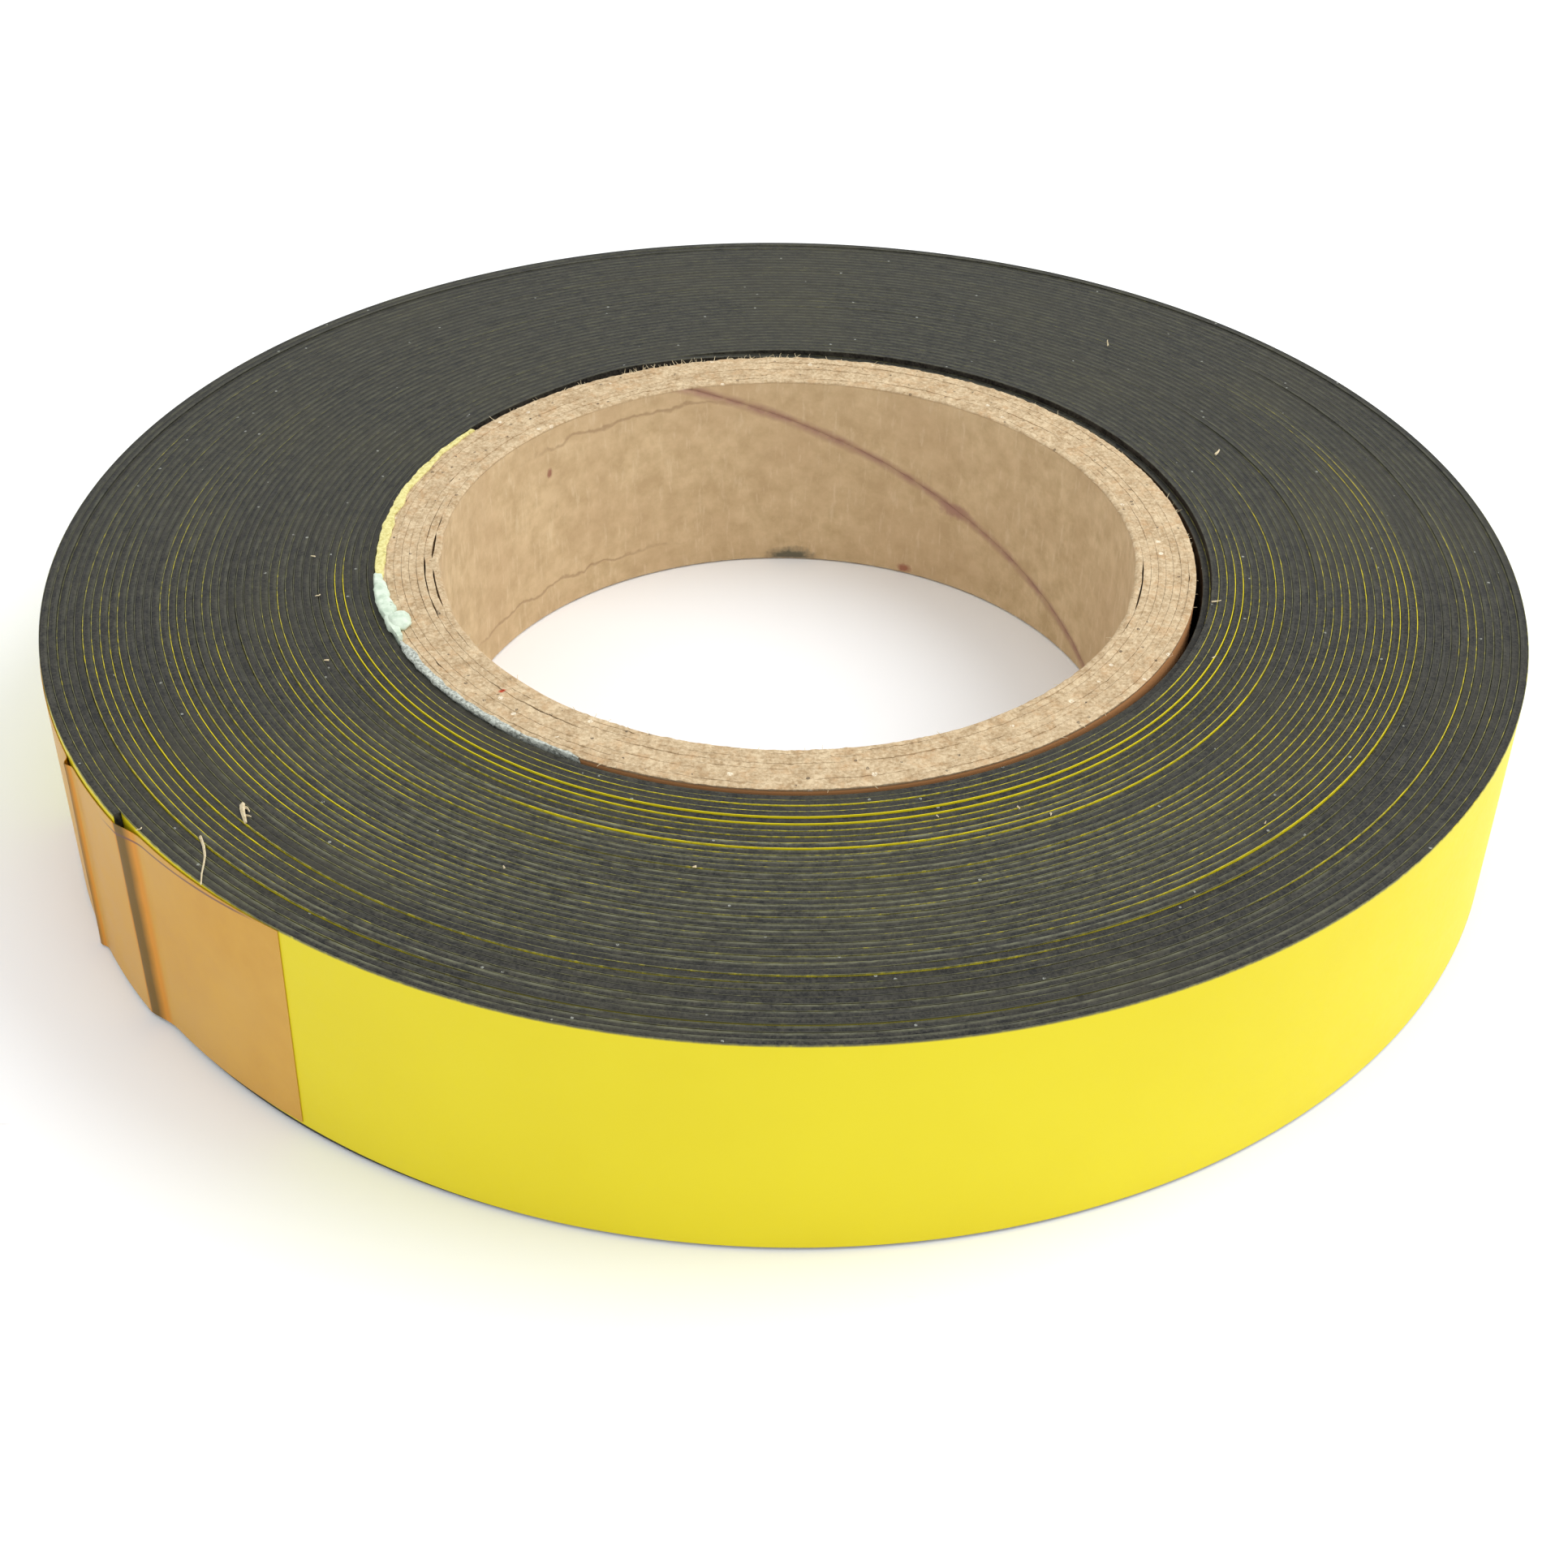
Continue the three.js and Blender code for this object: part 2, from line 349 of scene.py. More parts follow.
def noise(tree, vector, scale, detail=3.0, roughness=0.55):
    inputs = {"Vector": vector, "Scale": scale, "Detail": detail, "Roughness": roughness}
    return put(tree, "ShaderNodeTexNoise", inputs).outputs["Fac"]


def group_of(name, takes, gives):
    tree = bpy.data.node_groups.new(name, "ShaderNodeTree")
    for label, kind, default in takes:
        socket = tree.interface.new_socket(label, in_out="INPUT", socket_type=kind)
        if default is not None:
            socket.default_value = default
    for label, kind in gives:
        tree.interface.new_socket(label, in_out="OUTPUT", socket_type=kind)
    return tree, tree.nodes.new("NodeGroupInput").outputs, tree.nodes.new("NodeGroupOutput").inputs


def use_group(tree, group, inputs):
    node = tree.nodes.new("ShaderNodeGroup")
    node.node_tree = group
    for name, value in inputs.items():
        if isinstance(value, bpy.types.NodeSocket):
            tree.links.new(value, node.inputs[name])
        else:
            node.inputs[name].default_value = value
    return node.outputs


def raise_surface(tree, shader, height, strength, distance):
    inputs = {"Height": height, "Strength": strength, "Distance": distance}
    bump = put(tree, "ShaderNodeBump", inputs)
    tree.links.new(bump.outputs[0], shader.inputs["Normal"])


def new_material(name, colour):
    material = bpy.data.materials.new(name)
    material.use_nodes = True
    material.diffuse_color = (*colour, 1)
    tree = material.node_tree
    shader = tree.nodes["Principled BSDF"]
    place = tree.nodes.new("ShaderNodeTexCoord").outputs["Object"]
    return material, tree, shader, place


# %% [markdown]
# ## Shared effects
#
# Some effects turn up again and again. Grain is a fine two-scale noise for rubber, vinyl, tape and
# board. Specks are rare small ragged spots, for dust and for flecks in the board. A stain is one mark
# at a chosen place. All three are node groups, so each material places them with its own values.

# %% Grain group
FLOAT, VECTOR = "NodeSocketFloat", "NodeSocketVector"
grain, grain_in, grain_out = group_of(
    "Grain",
    [("Place", VECTOR, None), ("Scale", FLOAT, 1000.0), ("Contrast", FLOAT, 1.0)],
    [("Value", FLOAT)],
)
wide_scale = math_node(grain, "MULTIPLY", grain_in["Scale"], 0.23)
wide_share = math_node(grain, "MULTIPLY", noise(grain, grain_in["Place"], wide_scale, 2.0), 0.35)
fine_part = noise(grain, grain_in["Place"], grain_in["Scale"], 4.0, 0.6)
both_scales = math_node(grain, "MULTIPLY_ADD", fine_part, 0.65, wide_share)
centred = math_node(grain, "SUBTRACT", both_scales, 0.5)
spread = math_node(grain, "MULTIPLY_ADD", centred, grain_in["Contrast"], 0.5)
grain.links.new(spread, grain_out["Value"])

# %% Speck group
speck, speck_in, speck_out = group_of(
    "Specks",
    [("Place", VECTOR, None), ("Scale", FLOAT, 200.0), ("Size", FLOAT, 0.08), ("Share", FLOAT, 0.3)],
    [("Mask", FLOAT)],
)
cells = put(speck, "ShaderNodeTexVoronoi", {"Vector": speck_in["Place"], "Scale": speck_in["Scale"]})
cell_colour = put(speck, "ShaderNodeSeparateColor", {"Color": cells.outputs["Color"]})
is_near = math_node(speck, "LESS_THAN", cells.outputs["Distance"], speck_in["Size"])
is_chosen = math_node(speck, "LESS_THAN", cell_colour.outputs["Red"], speck_in["Share"])
ragged = noise(speck, speck_in["Place"], math_node(speck, "MULTIPLY", speck_in["Scale"], 9.0), 2.0)
is_solid = math_node(speck, "GREATER_THAN", ragged, 0.43)
chosen_spot = math_node(speck, "MULTIPLY", is_near, is_chosen)
speck.links.new(math_node(speck, "MULTIPLY", chosen_spot, is_solid), speck_out["Mask"])

# %% Stain group: one soft-edged mark at a place
stain, stain_in, stain_out = group_of(
    "Stain",
    [
        ("Place", VECTOR, None), ("Middle", VECTOR, None), ("Reach", VECTOR, None),
        ("Strength", FLOAT, 1.0),
    ],
    [("Mask", FLOAT)],
)
offset = put(
    stain, "ShaderNodeVectorMath", {0: stain_in["Place"], 1: stain_in["Middle"]}, operation="SUBTRACT"
)
scaled = put(
    stain, "ShaderNodeVectorMath", {0: offset.outputs[0], 1: stain_in["Reach"]}, operation="DIVIDE"
)
away = put(stain, "ShaderNodeVectorMath", {0: scaled.outputs[0]}, operation="LENGTH").outputs["Value"]
uneven = math_node(stain, "MULTIPLY_ADD", noise(stain, stain_in["Place"], 1400.0, 3.0), 0.8, away)
soft = span(stain, uneven, 1.45, 0.85)
stain.links.new(math_node(stain, "MULTIPLY", soft, stain_in["Strength"]), stain_out["Mask"])
print("shared groups:", [g.name for g in bpy.data.node_groups])

# %% [markdown]
# ## Ferrite rubber
#
# The magnet is a stiff rubber packed with ferrite powder. Its slit edge is nearly black, a little
# brown, grainy like fine slate, with short streaks along the strip where the knife dragged. The
# streaks need a direction that follows the winding, so each strip carries its own place along the
# strip as an attribute, and the noise is stretched along that.

# %% Ferrite material
ferrite, tree, shader, place = new_material("ferrite_rubber", (0.05, 0.05, 0.047))
along = put(tree, "ShaderNodeAttribute", attribute_name="own_place").outputs["Vector"]
rubber = use_group(tree, grain, {"Place": place, "Scale": 3300.0, "Contrast": 2.3})["Value"]
streaks = noise(tree, stretched(tree, along, (260, 9000, 900)), 1.0, 3.0, 0.6)
turn_tone = noise(tree, stretched(tree, along, (9, 1, 1)), 1.0, 2.0)
drift = noise(tree, place, 55.0, 2.0)
FERRITE_DARK, FERRITE_LIGHT = (0.004, 0.004, 0.004, 1), (0.058, 0.054, 0.042, 1)
tone = mix_colour(tree, span(tree, rubber, 0.25, 0.75), FERRITE_DARK, FERRITE_LIGHT)
tone = mix_colour(tree, span(tree, streaks, 0.52, 0.75, 0, 0.6), tone, (0.085, 0.083, 0.070, 1))
tone = mix_colour(tree, span(tree, turn_tone, 0.35, 0.65, 0, 0.35), tone, (0.020, 0.020, 0.020, 1))
tone = mix_colour(tree, span(tree, drift, 0.45, 0.7, 0, 0.45), tone, (0.052, 0.047, 0.030, 1))
strip_place = put(tree, "ShaderNodeSeparateXYZ", {0: along})
share = put(tree, "ShaderNodeAttribute", attribute_name="film_share").outputs["Fac"]
on_edge = span(tree, strip_place.outputs["Z"], 0.02490, 0.02496)
near_vinyl = span(tree, strip_place.outputs["Y"], 0.00042, 0.00010)
film_dash = span(tree, noise(tree, stretched(tree, along, (420, 900, 1)), 1.0, 4.0, 0.7), 0.35, 0.62)
film = math_node(tree, "MULTIPLY", math_node(tree, "MULTIPLY", on_edge, near_vinyl), share)
film = math_node(tree, "MULTIPLY", film, film_dash)
tone = mix_colour(tree, film, tone, (0.205, 0.205, 0.125, 1))
dust = use_group(tree, speck, {"Place": place, "Scale": 620.0, "Size": 0.10, "Share": 0.16})["Mask"]
tone = mix_colour(tree, math_node(tree, "MULTIPLY", dust, 0.6), tone, (0.42, 0.43, 0.38, 1))
tree.links.new(tone, shader.inputs["Base Color"])
tree.links.new(span(tree, rubber, 0.2, 0.8, 0.5, 0.75), shader.inputs["Roughness"])
relief = math_node(tree, "MULTIPLY_ADD", streaks, 0.6, rubber)
raise_surface(tree, shader, relief, 0.6, 0.00008)
shader.inputs["Specular IOR Level"].default_value = 0.22

# %% [markdown]
# ## Yellow vinyl
#
# The vinyl face is a smooth satin film, clean and bright on the outside of the roll. On the slit edge
# it is less than a tenth of a millimetre thick, and the knife has dragged black rubber over it and a
# little way down the face, so there it breaks up into olive dashes. One material does both. The
# stored height on the strip says how near the upper edge a point is, and the stored share says how
# badly that stretch is smeared.

# %% Vinyl material
VINYL_YELLOW = (0.86, 0.745, 0.03)
vinyl, tree, shader, place = new_material("yellow_vinyl", VINYL_YELLOW)
along = put(tree, "ShaderNodeAttribute", attribute_name="own_place").outputs["Vector"]
share = put(tree, "ShaderNodeAttribute", attribute_name="smear_share").outputs["Fac"]
strip_height = put(tree, "ShaderNodeSeparateXYZ", {0: along}).outputs["Z"]
on_edge = span(tree, strip_height, 0.02497, 0.024995)
near_edge = span(tree, strip_height, 0.02470, 0.02497)
dash = noise(tree, stretched(tree, along, (950, 2400, 40)), 1.0, 4.0, 0.7)
long_dash = noise(tree, stretched(tree, along, (70, 1300, 1)), 1.0, 3.0)
long_dash = span(tree, long_dash, 0.3, 0.7, 0, 0.5)
broken = math_node(tree, "MULTIPLY_ADD", span(tree, dash, 0.34, 0.66), 0.62, long_dash)
cover = math_node(tree, "ADD", broken, share)
thin_smear = math_node(tree, "MULTIPLY", on_edge, span(tree, cover, 0.65, 1.25, 0.04, 0.96))
low_smear = math_node(tree, "MULTIPLY", near_edge, span(tree, cover, 0.85, 1.4, 0.0, 0.9))
smear = math_node(tree, "MAXIMUM", thin_smear, low_smear)
thick_smear = math_node(tree, "MULTIPLY", near_edge, span(tree, cover, 1.2, 1.75, 0.0, 0.92))
soft_tone = noise(tree, place, 38.0, 3.0)
VINYL_DEEP, VINYL_PALE = (0.715, 0.585, 0.006, 1), (0.745, 0.625, 0.009, 1)
tone = mix_colour(tree, span(tree, soft_tone, 0.3, 0.7), VINYL_DEEP, VINYL_PALE)
tone = mix_colour(tree, smear, tone, (0.150, 0.150, 0.066, 1))
tone = mix_colour(tree, thick_smear, tone, (0.052, 0.051, 0.038, 1))
spots = use_group(tree, speck, {"Place": place, "Scale": 110.0, "Size": 0.026, "Share": 0.22})["Mask"]
tone = mix_colour(tree, math_node(tree, "MULTIPLY", spots, 0.55), tone, (0.16, 0.11, 0.02, 1))
tree.links.new(tone, shader.inputs["Base Color"])
film = use_group(tree, grain, {"Place": place, "Scale": 1500.0, "Contrast": 1.0})["Value"]
tree.links.new(span(tree, film, 0.2, 0.8, 0.42, 0.56), shader.inputs["Roughness"])
raise_surface(tree, shader, film, 0.12, 0.00004)
shader.inputs["Specular IOR Level"].default_value = 0.3

# %% [markdown]
# ## Cardboard
#
# The core is grey-brown recycled board. On the walls it is smooth kraft paper with soft mottling. On
# the cut ends the fibres stand up, so it is paler, coarse and flecked. The bore also carries a few
# marks: a dark teal-black patch at its lower edge, two reddish spots, a purple-brown stain along the
# seam of the inner ply, and two faint creases drawn as lines of painted shade.

# %% Cardboard material
BORE_RADIUS = 38.1 * MM
OUTER_WALL_RADIUS = 44.48 * MM
CORE_LENGTH = 25.6 * MM


def round_place(radius, heading, height):
    turned = math.radians(heading)
    return (radius * math.cos(turned), radius * math.sin(turned), height)


cardboard, tree, shader, place = new_material("cardboard", (0.6, 0.42, 0.24))
board_height = put(tree, "ShaderNodeSeparateXYZ", {0: place}).outputs["Z"]
from_middle = math_node(tree, "ABSOLUTE", math_node(tree, "SUBTRACT", board_height, CORE_LENGTH / 2))
on_end = span(tree, from_middle, CORE_LENGTH / 2 - 0.00035, CORE_LENGTH / 2 - 0.00012)
mottle = noise(tree, place, 420.0, 5.0, 0.62)
clouds = noise(tree, place, 90.0, 3.0)
KRAFT_DARK, KRAFT_LIGHT = (0.50, 0.36, 0.20, 1), (0.64, 0.48, 0.285, 1)
wall = mix_colour(tree, span(tree, mottle, 0.35, 0.66), KRAFT_DARK, KRAFT_LIGHT)
wall = mix_colour(tree, span(tree, clouds, 0.4, 0.68, 0, 0.45), wall, (0.53, 0.37, 0.215, 1))
hairs = noise(tree, stretched(tree, place, (1500, 1500, 300)), 1.0, 4.0, 0.6)
wall = mix_colour(tree, span(tree, hairs, 0.56, 0.7, 0, 0.35), wall, (0.74, 0.60, 0.40, 1))
seam_distance = put(tree, "ShaderNodeAttribute", attribute_name="seam_distance").outputs["Fac"]
ragged = noise(tree, place, 330.0, 3.0)
wander = math_node(tree, "MULTIPLY_ADD", ragged, 0.0020, seam_distance)
by_seam = span(tree, wander, 0.0034, 0.0013)
patchy = span(tree, mottle, 0.25, 0.55, 0.2, 0.9)
by_seam = math_node(tree, "MULTIPLY", by_seam, patchy)
wall = mix_colour(tree, by_seam, wall, (0.34, 0.19, 0.14, 1))
across = put(tree, "ShaderNodeVectorMath", {0: place, 1: (1, 1, 0)}, operation="MULTIPLY").outputs[0]
from_axis = put(tree, "ShaderNodeVectorMath", {0: across}, operation="LENGTH").outputs["Value"]
is_outside = math_node(tree, "GREATER_THAN", from_axis, OUTER_WALL_RADIUS)
wall = mix_colour(tree, is_outside, wall, (0.56, 0.26, 0.10, 1))
MARKS = (
    # A dark teal-black patch at the lower edge of the bore, then two reddish spots and the seam stain.
    (round_place(BORE_RADIUS, 89.5, 0.0004), (0.0036, 0.0012, 0.0016), (0.03, 0.05, 0.045, 1)),
    (round_place(BORE_RADIUS, 66.8, 0.0008), (0.0012, 0.0008, 0.0007), (0.30, 0.09, 0.06, 1)),
    (round_place(BORE_RADIUS, 139.0, 0.0196), (0.0005, 0.0005, 0.0007), (0.27, 0.10, 0.07, 1)),
    (round_place(BORE_RADIUS, 57.0, 0.0112), (0.0026, 0.0026, 0.0012), (0.36, 0.20, 0.15, 1)),
)
for middle, reach, colour in MARKS:
    mark_values = {"Place": place, "Middle": middle, "Reach": reach, "Strength": 0.8}
    mark = use_group(tree, stain, mark_values)["Mask"]
    wall = mix_colour(tree, mark, wall, colour)
# Two faint creases in the bore, painted as dark lines of shade along a slight ridge in the board.
CREASE_SHADE_LINES = ((140.0, 0.0040, 0.020), (122.0, 0.0230, 0.016))
crease_wander = math_node(tree, "MULTIPLY", noise(tree, place, 210.0, 4.0), 0.0036)
for heading, level, reach in CREASE_SHADE_LINES:
    spot = round_place(BORE_RADIUS, heading, level)
    wandering_height = math_node(tree, "ADD", board_height, crease_wander)
    away = math_node(tree, "SUBTRACT", wandering_height, level + 0.0018)
    line = span(tree, math_node(tree, "ABSOLUTE", away), 0.00032, 0.00008)
    crease_values = {"Place": place, "Middle": spot, "Reach": (reach, reach, 0.02)}
    there = use_group(tree, stain, crease_values)["Mask"]
    line = math_node(tree, "MULTIPLY", math_node(tree, "MULTIPLY", line, there), 0.5)
    wall = mix_colour(tree, line, wall, (0.27, 0.17, 0.09, 1))
fibres = use_group(tree, grain, {"Place": place, "Scale": 2600.0, "Contrast": 1.9})["Value"]
lumps = noise(tree, place, 800.0, 4.0, 0.65)
SAWN_DARK, SAWN_LIGHT = (0.40, 0.275, 0.15, 1), (0.71, 0.56, 0.36, 1)
end = mix_colour(tree, span(tree, fibres, 0.25, 0.75), SAWN_DARK, SAWN_LIGHT)
end = mix_colour(tree, span(tree, lumps, 0.5, 0.72, 0, 0.6), end, (0.55, 0.34, 0.17, 1))
flecks = use_group(tree, speck, {"Place": place, "Scale": 900.0, "Size": 0.17, "Share": 0.2})["Mask"]
end = mix_colour(tree, math_node(tree, "MULTIPLY", flecks, 0.8), end, (0.09, 0.065, 0.045, 1))
moved = put(tree, "ShaderNodeMapping", {"Vector": place, "Location": (0.013, 0.007, 0.0)}).outputs[0]
pale = use_group(tree, speck, {"Place": moved, "Scale": 650.0, "Size": 0.18, "Share": 0.12})["Mask"]
end = mix_colour(tree, math_node(tree, "MULTIPLY", pale, 0.7), end, (0.93, 0.84, 0.66, 1))
red_spot = round_place(40.6 * MM, 225.7, CORE_LENGTH)
red_values = {"Place": place, "Middle": red_spot, "Reach": (0.0005, 0.0003, 0.001)}
red = use_group(tree, stain, red_values)["Mask"]
end = mix_colour(tree, red, end, (0.50, 0.07, 0.03, 1))
tree.links.new(mix_colour(tree, on_end, wall, end), shader.inputs["Base Color"])
shader.inputs["Roughness"].default_value = 0.92
shader.inputs["Specular IOR Level"].default_value = 0.2
tooth = math_node(tree, "MULTIPLY_ADD", lumps, 1.2, fibres)
end_tooth = math_node(tree, "MULTIPLY", tooth, on_end)
board_relief = math_node(tree, "MULTIPLY_ADD", mottle, 0.25, end_tooth)
raise_surface(tree, shader, board_relief, 0.7, 0.00015)

# %% [markdown]
# ## Packing tape
#
# Brown packing tape is a clear film with tan adhesive on its back. Where it is stuck down it looks an
# even tan, warmed by the yellow beneath. Where it stands off, over the step at the strip's end and in
# a wrinkle, it is painted dark brown: painted shade of the hollow under it, and over the step also
# the dark end of the strip beneath. An orange rim follows where it comes down again, and a dark
# purplish line along the upper edge is painted shade of a crease there. The distance between the
# tape and what it covers is stored on it, so the colour can follow the real shape.

# %% Tape material
tape, tree, shader, place = new_material("packing_tape", (0.6, 0.33, 0.08))
gap = put(tree, "ShaderNodeAttribute", attribute_name="tape_gap").outputs["Fac"]
crease = put(tree, "ShaderNodeAttribute", attribute_name="crease_distance").outputs["Fac"]
share = put(tree, "ShaderNodeAttribute", attribute_name="crease_share").outputs["Fac"]
cloudy = noise(tree, place, 260.0, 4.0, 0.6)
wide = noise(tree, place, 45.0, 2.0)
TAPE_DARK, TAPE_LIGHT = (0.60, 0.31, 0.042, 1), (0.64, 0.345, 0.055, 1)
tone = mix_colour(tree, span(tree, cloudy, 0.35, 0.65), TAPE_DARK, TAPE_LIGHT)
tone = mix_colour(tree, span(tree, wide, 0.4, 0.65, 0, 0.4), tone, (0.66, 0.40, 0.10, 1))
orange = span(tree, gap, 0.00005, 0.00016)
tone = mix_colour(tree, orange, tone, (0.66, 0.27, 0.02, 1))
# Painted shade: dark brown where the tape stands off, for the hollow under it and, over the step, also
# the dark end of the strip beneath.
brown = span(tree, math_node(tree, "MULTIPLY_ADD", cloudy, 0.0001, gap), 0.00030, 0.00062)
tone = mix_colour(tree, brown, tone, (0.18, 0.10, 0.016, 1))
# Painted shade: a dark purplish line along the crease below the tape's upper edge.
uneven = math_node(tree, "MULTIPLY_ADD", cloudy, 0.0001, math_node(tree, "ABSOLUTE", crease))
crease_shade = span(tree, uneven, 0.00024, 0.00011, 0, 0.85)
crease_shade = math_node(tree, "MULTIPLY", crease_shade, share)
tone = mix_colour(tree, crease_shade, tone, (0.16, 0.07, 0.07, 1))
tree.links.new(tone, shader.inputs["Base Color"])
shader.inputs["Alpha"].default_value = 0.94
shader.inputs["Specular IOR Level"].default_value = 0.15
tree.links.new(span(tree, cloudy, 0.3, 0.7, 0.30, 0.42), shader.inputs["Roughness"])
film = use_group(tree, grain, {"Place": place, "Scale": 1800.0, "Contrast": 1.0})["Value"]
raise_surface(tree, shader, film, 0.12, 0.00004)

# %% [markdown]
# ## Foam, glue and lint
#
# Under the first turn there is a strip of foam tape, pale yellow along one stretch and grey further
# round, with a bead of hardened mint-green glue between. Paper lint lies on the roll.
# All of them are the same kind of soft, pitted, dull surface, so one function makes them from two
# tones.

# %% Foam, glue and lint materials


def crumbly(name, light, dark, pit_scale, pit_depth):
    material, tree, shader, place = new_material(name, light)
    pits = noise(tree, place, pit_scale, 5.0, 0.65)
    tone = mix_colour(tree, span(tree, pits, 0.36, 0.58), (*dark, 1), (*light, 1))
    dirt_values = {"Place": place, "Scale": 1300.0, "Size": 0.2, "Share": 0.10}
    dirt = use_group(tree, speck, dirt_values)["Mask"]
    dirty = tuple(0.35 * part for part in dark)
    tone = mix_colour(tree, math_node(tree, "MULTIPLY", dirt, 0.55), tone, (*dirty, 1))
    tree.links.new(tone, shader.inputs["Base Color"])
    shader.inputs["Roughness"].default_value = 0.9
    shader.inputs["Specular IOR Level"].default_value = 0.25
    raise_surface(tree, shader, pits, 0.8, pit_depth)
    return material


yellow_foam = crumbly("yellow_foam", (0.78, 0.72, 0.32), (0.58, 0.50, 0.17), 2200.0, 0.00014)
grey_foam = crumbly("grey_foam", (0.60, 0.63, 0.56), (0.20, 0.21, 0.18), 3200.0, 0.00016)
mint_glue = crumbly("mint_glue", (0.70, 0.79, 0.65), (0.50, 0.60, 0.47), 900.0, 0.0001)
lint = crumbly("paper_lint", (0.74, 0.63, 0.42), (0.58, 0.46, 0.27), 3000.0, 0.00003)

# %% [markdown]
# ## Rolling up a blank
#
# Everything on this object is wound round something, so it is modelled flat and rolled up. One slice
# of the blank is a cube, cut across where it will need to bend or roughen, with its ends open. An
# Array repeats the slice along X, and the two open ends are filled. Then the blank is rolled up: X
# becomes the running angle, Y the depth outwards, and Z stays the height. It is how the real strip
# gets its shape, and it keeps every turn exactly parallel.

# %% Flat blank


def flat_blank(slices, depth, thickness, low, high, heights=(), depths=(), soft_edge=0, shape=None):
    start_fresh()
    middle = (0.5, depth + thickness / 2, (low + high) / 2)
    bpy.ops.mesh.primitive_cube_add(size=1, location=middle, scale=(1, thickness, high - low))
    piece = bpy.context.object
    bpy.ops.object.transform_apply(location=True, rotation=True, scale=True)
    bpy.ops.object.mode_set(mode="EDIT")
    cuts = [((0, 0, height), (0, 0, 1)) for height in heights]
    cuts += [((0, level, 0), (0, 1, 0)) for level in depths]
    for point, normal in cuts:
        bpy.ops.mesh.select_all(action="SELECT")
        bpy.ops.mesh.bisect(plane_co=point, plane_no=normal)
    if shape:
        shape(piece)
    edit_faces(piece, lambda face: abs(face.normal.x) > 0.9)
    bpy.ops.mesh.delete(type="FACE")
    bpy.ops.object.mode_set(mode="OBJECT")
    if soft_edge:
        soften_long_edges(piece, low, high, soft_edge)
    apply_modifier(
        piece, "ARRAY", count=slices, use_relative_offset=False, use_constant_offset=True,
        constant_offset_displace=(1, 0, 0), use_merge_vertices=True, merge_threshold=1e-5,
    )
    bpy.ops.object.mode_set(mode="EDIT")
    bpy.ops.mesh.select_all(action="SELECT")
    bpy.ops.mesh.fill_holes(sides=0)
    bpy.ops.object.mode_set(mode="OBJECT")
    return piece


def soften_long_edges(piece, low, high, width):
    mesh = piece.data
    for edge in mesh.edges:
        first, second = (mesh.vertices[index].co for index in edge.vertices)
        along_strip = abs(first.x - second.x) > 0.5
        at_corner = min(abs(first.z - low), abs(first.z - high)) < 1e-7
        edge.select = along_strip and at_corner
    bpy.ops.object.mode_set(mode="EDIT")
    bpy.ops.mesh.select_mode(type="EDGE")
    bpy.ops.mesh.bevel(offset=width, segments=1, affect="EDGES")
    bpy.ops.object.mode_set(mode="OBJECT")


# %% Rolling up


def level_radius(angle, height):
    return strip_radius(angle)


def level_lift(angle, height):
    return edge_lift(angle)


def store(piece, name, values):
    attribute = piece.data.attributes.new(name, "FLOAT", "POINT")
    attribute.data.foreach_set("value", np.asarray(values, np.float32))


def roll_up(piece, start, slice_angle, radius_at=level_radius, lift_at=level_lift, lean=0):
    """Roll the blank up. Lean is how many degrees it runs on for each metre of height."""
    points = points_of(piece)
    height = points[:, 2].copy()
    angle = start + points[:, 0] * slice_angle + lean * height
    radius = radius_at(angle, height) + points[:, 1]
    own_place = np.stack([np.radians(angle) * 60 * MM, points[:, 1], height], axis=1)
    attribute = piece.data.attributes.new("own_place", "FLOAT_VECTOR", "POINT")
    attribute.data.foreach_set("vector", own_place.astype(np.float32).ravel())
    turned = np.radians(angle)
    lifted = height + lift_at(angle, height)
    set_points(piece, np.stack([radius * np.cos(turned), radius * np.sin(turned), lifted], axis=1))
    bpy.ops.object.mode_set(mode="EDIT")
    bpy.ops.mesh.select_all(action="SELECT")
    bpy.ops.mesh.flip_normals()
    bpy.ops.object.mode_set(mode="OBJECT")
    return angle, height


# %% [markdown]
# ## The core
#
# A cardboard core is wound from plies of paperboard, glued one over the other at an angle, so each
# ply shows one seam that climbs round the tube. Every ply here is a blank that leans as it is rolled up,
# and its two ends meet at that seam. The cut ends are roughened with two Displace modifiers, one for
# lumps and one for fibres, and the inner plies have come a little apart near the top.

# %% Core dimensions
PLY_COUNT = 8
PLY_PITCH = 0.8125 * MM
PLY_GLUE_GAP = 0.03 * MM
PLY_THICKNESS = PLY_PITCH - PLY_GLUE_GAP
SEAM_TWIST = 95
SEAM_SPACING = 137.5
FIRST_SEAM = 15
SEAM_GAP = 0.06 * MM
PLY_SLICE_ANGLE = 0.5
PLY_ROWS = (0.35 * MM, *np.linspace(1.6 * MM, 24 * MM, 19), CORE_LENGTH - 0.35 * MM)

# %% One ply


def cloud_texture(name, size):
    texture = bpy.data.textures.new(name, "CLOUDS")
    texture.noise_scale = size
    texture.noise_depth = 2
    return texture


fibre_lumps = cloud_texture("fibre_lumps", 0.0011)
fibre_ends = cloud_texture("fibre_ends", 0.0003)


def loosened(number, heading, height):
    """How far a ply has come away towards the bore, near the upper end."""
    near_top = np.clip((height - CORE_LENGTH + 5 * MM) / (5 * MM), 0, 1) ** 2
    left = bell(heading, 172, 207, 18) * {1: 0.24, 2: 0.17}.get(number, 0)
    right = bell(heading, 338, 358, 14) * {1: 0.17}.get(number, 0)
    front = bell(heading, 224, 240, 10) * {1: 0.12, 2: 0.12, 3: 0.1}.get(number, 0)
    patches = np.interp(heading / 3.3 + number * 17, np.arange(len(knots)), knots)
    broken = np.clip(0.55 + patches, 0, 1)
    return (left + right + front) * MM * near_top * broken


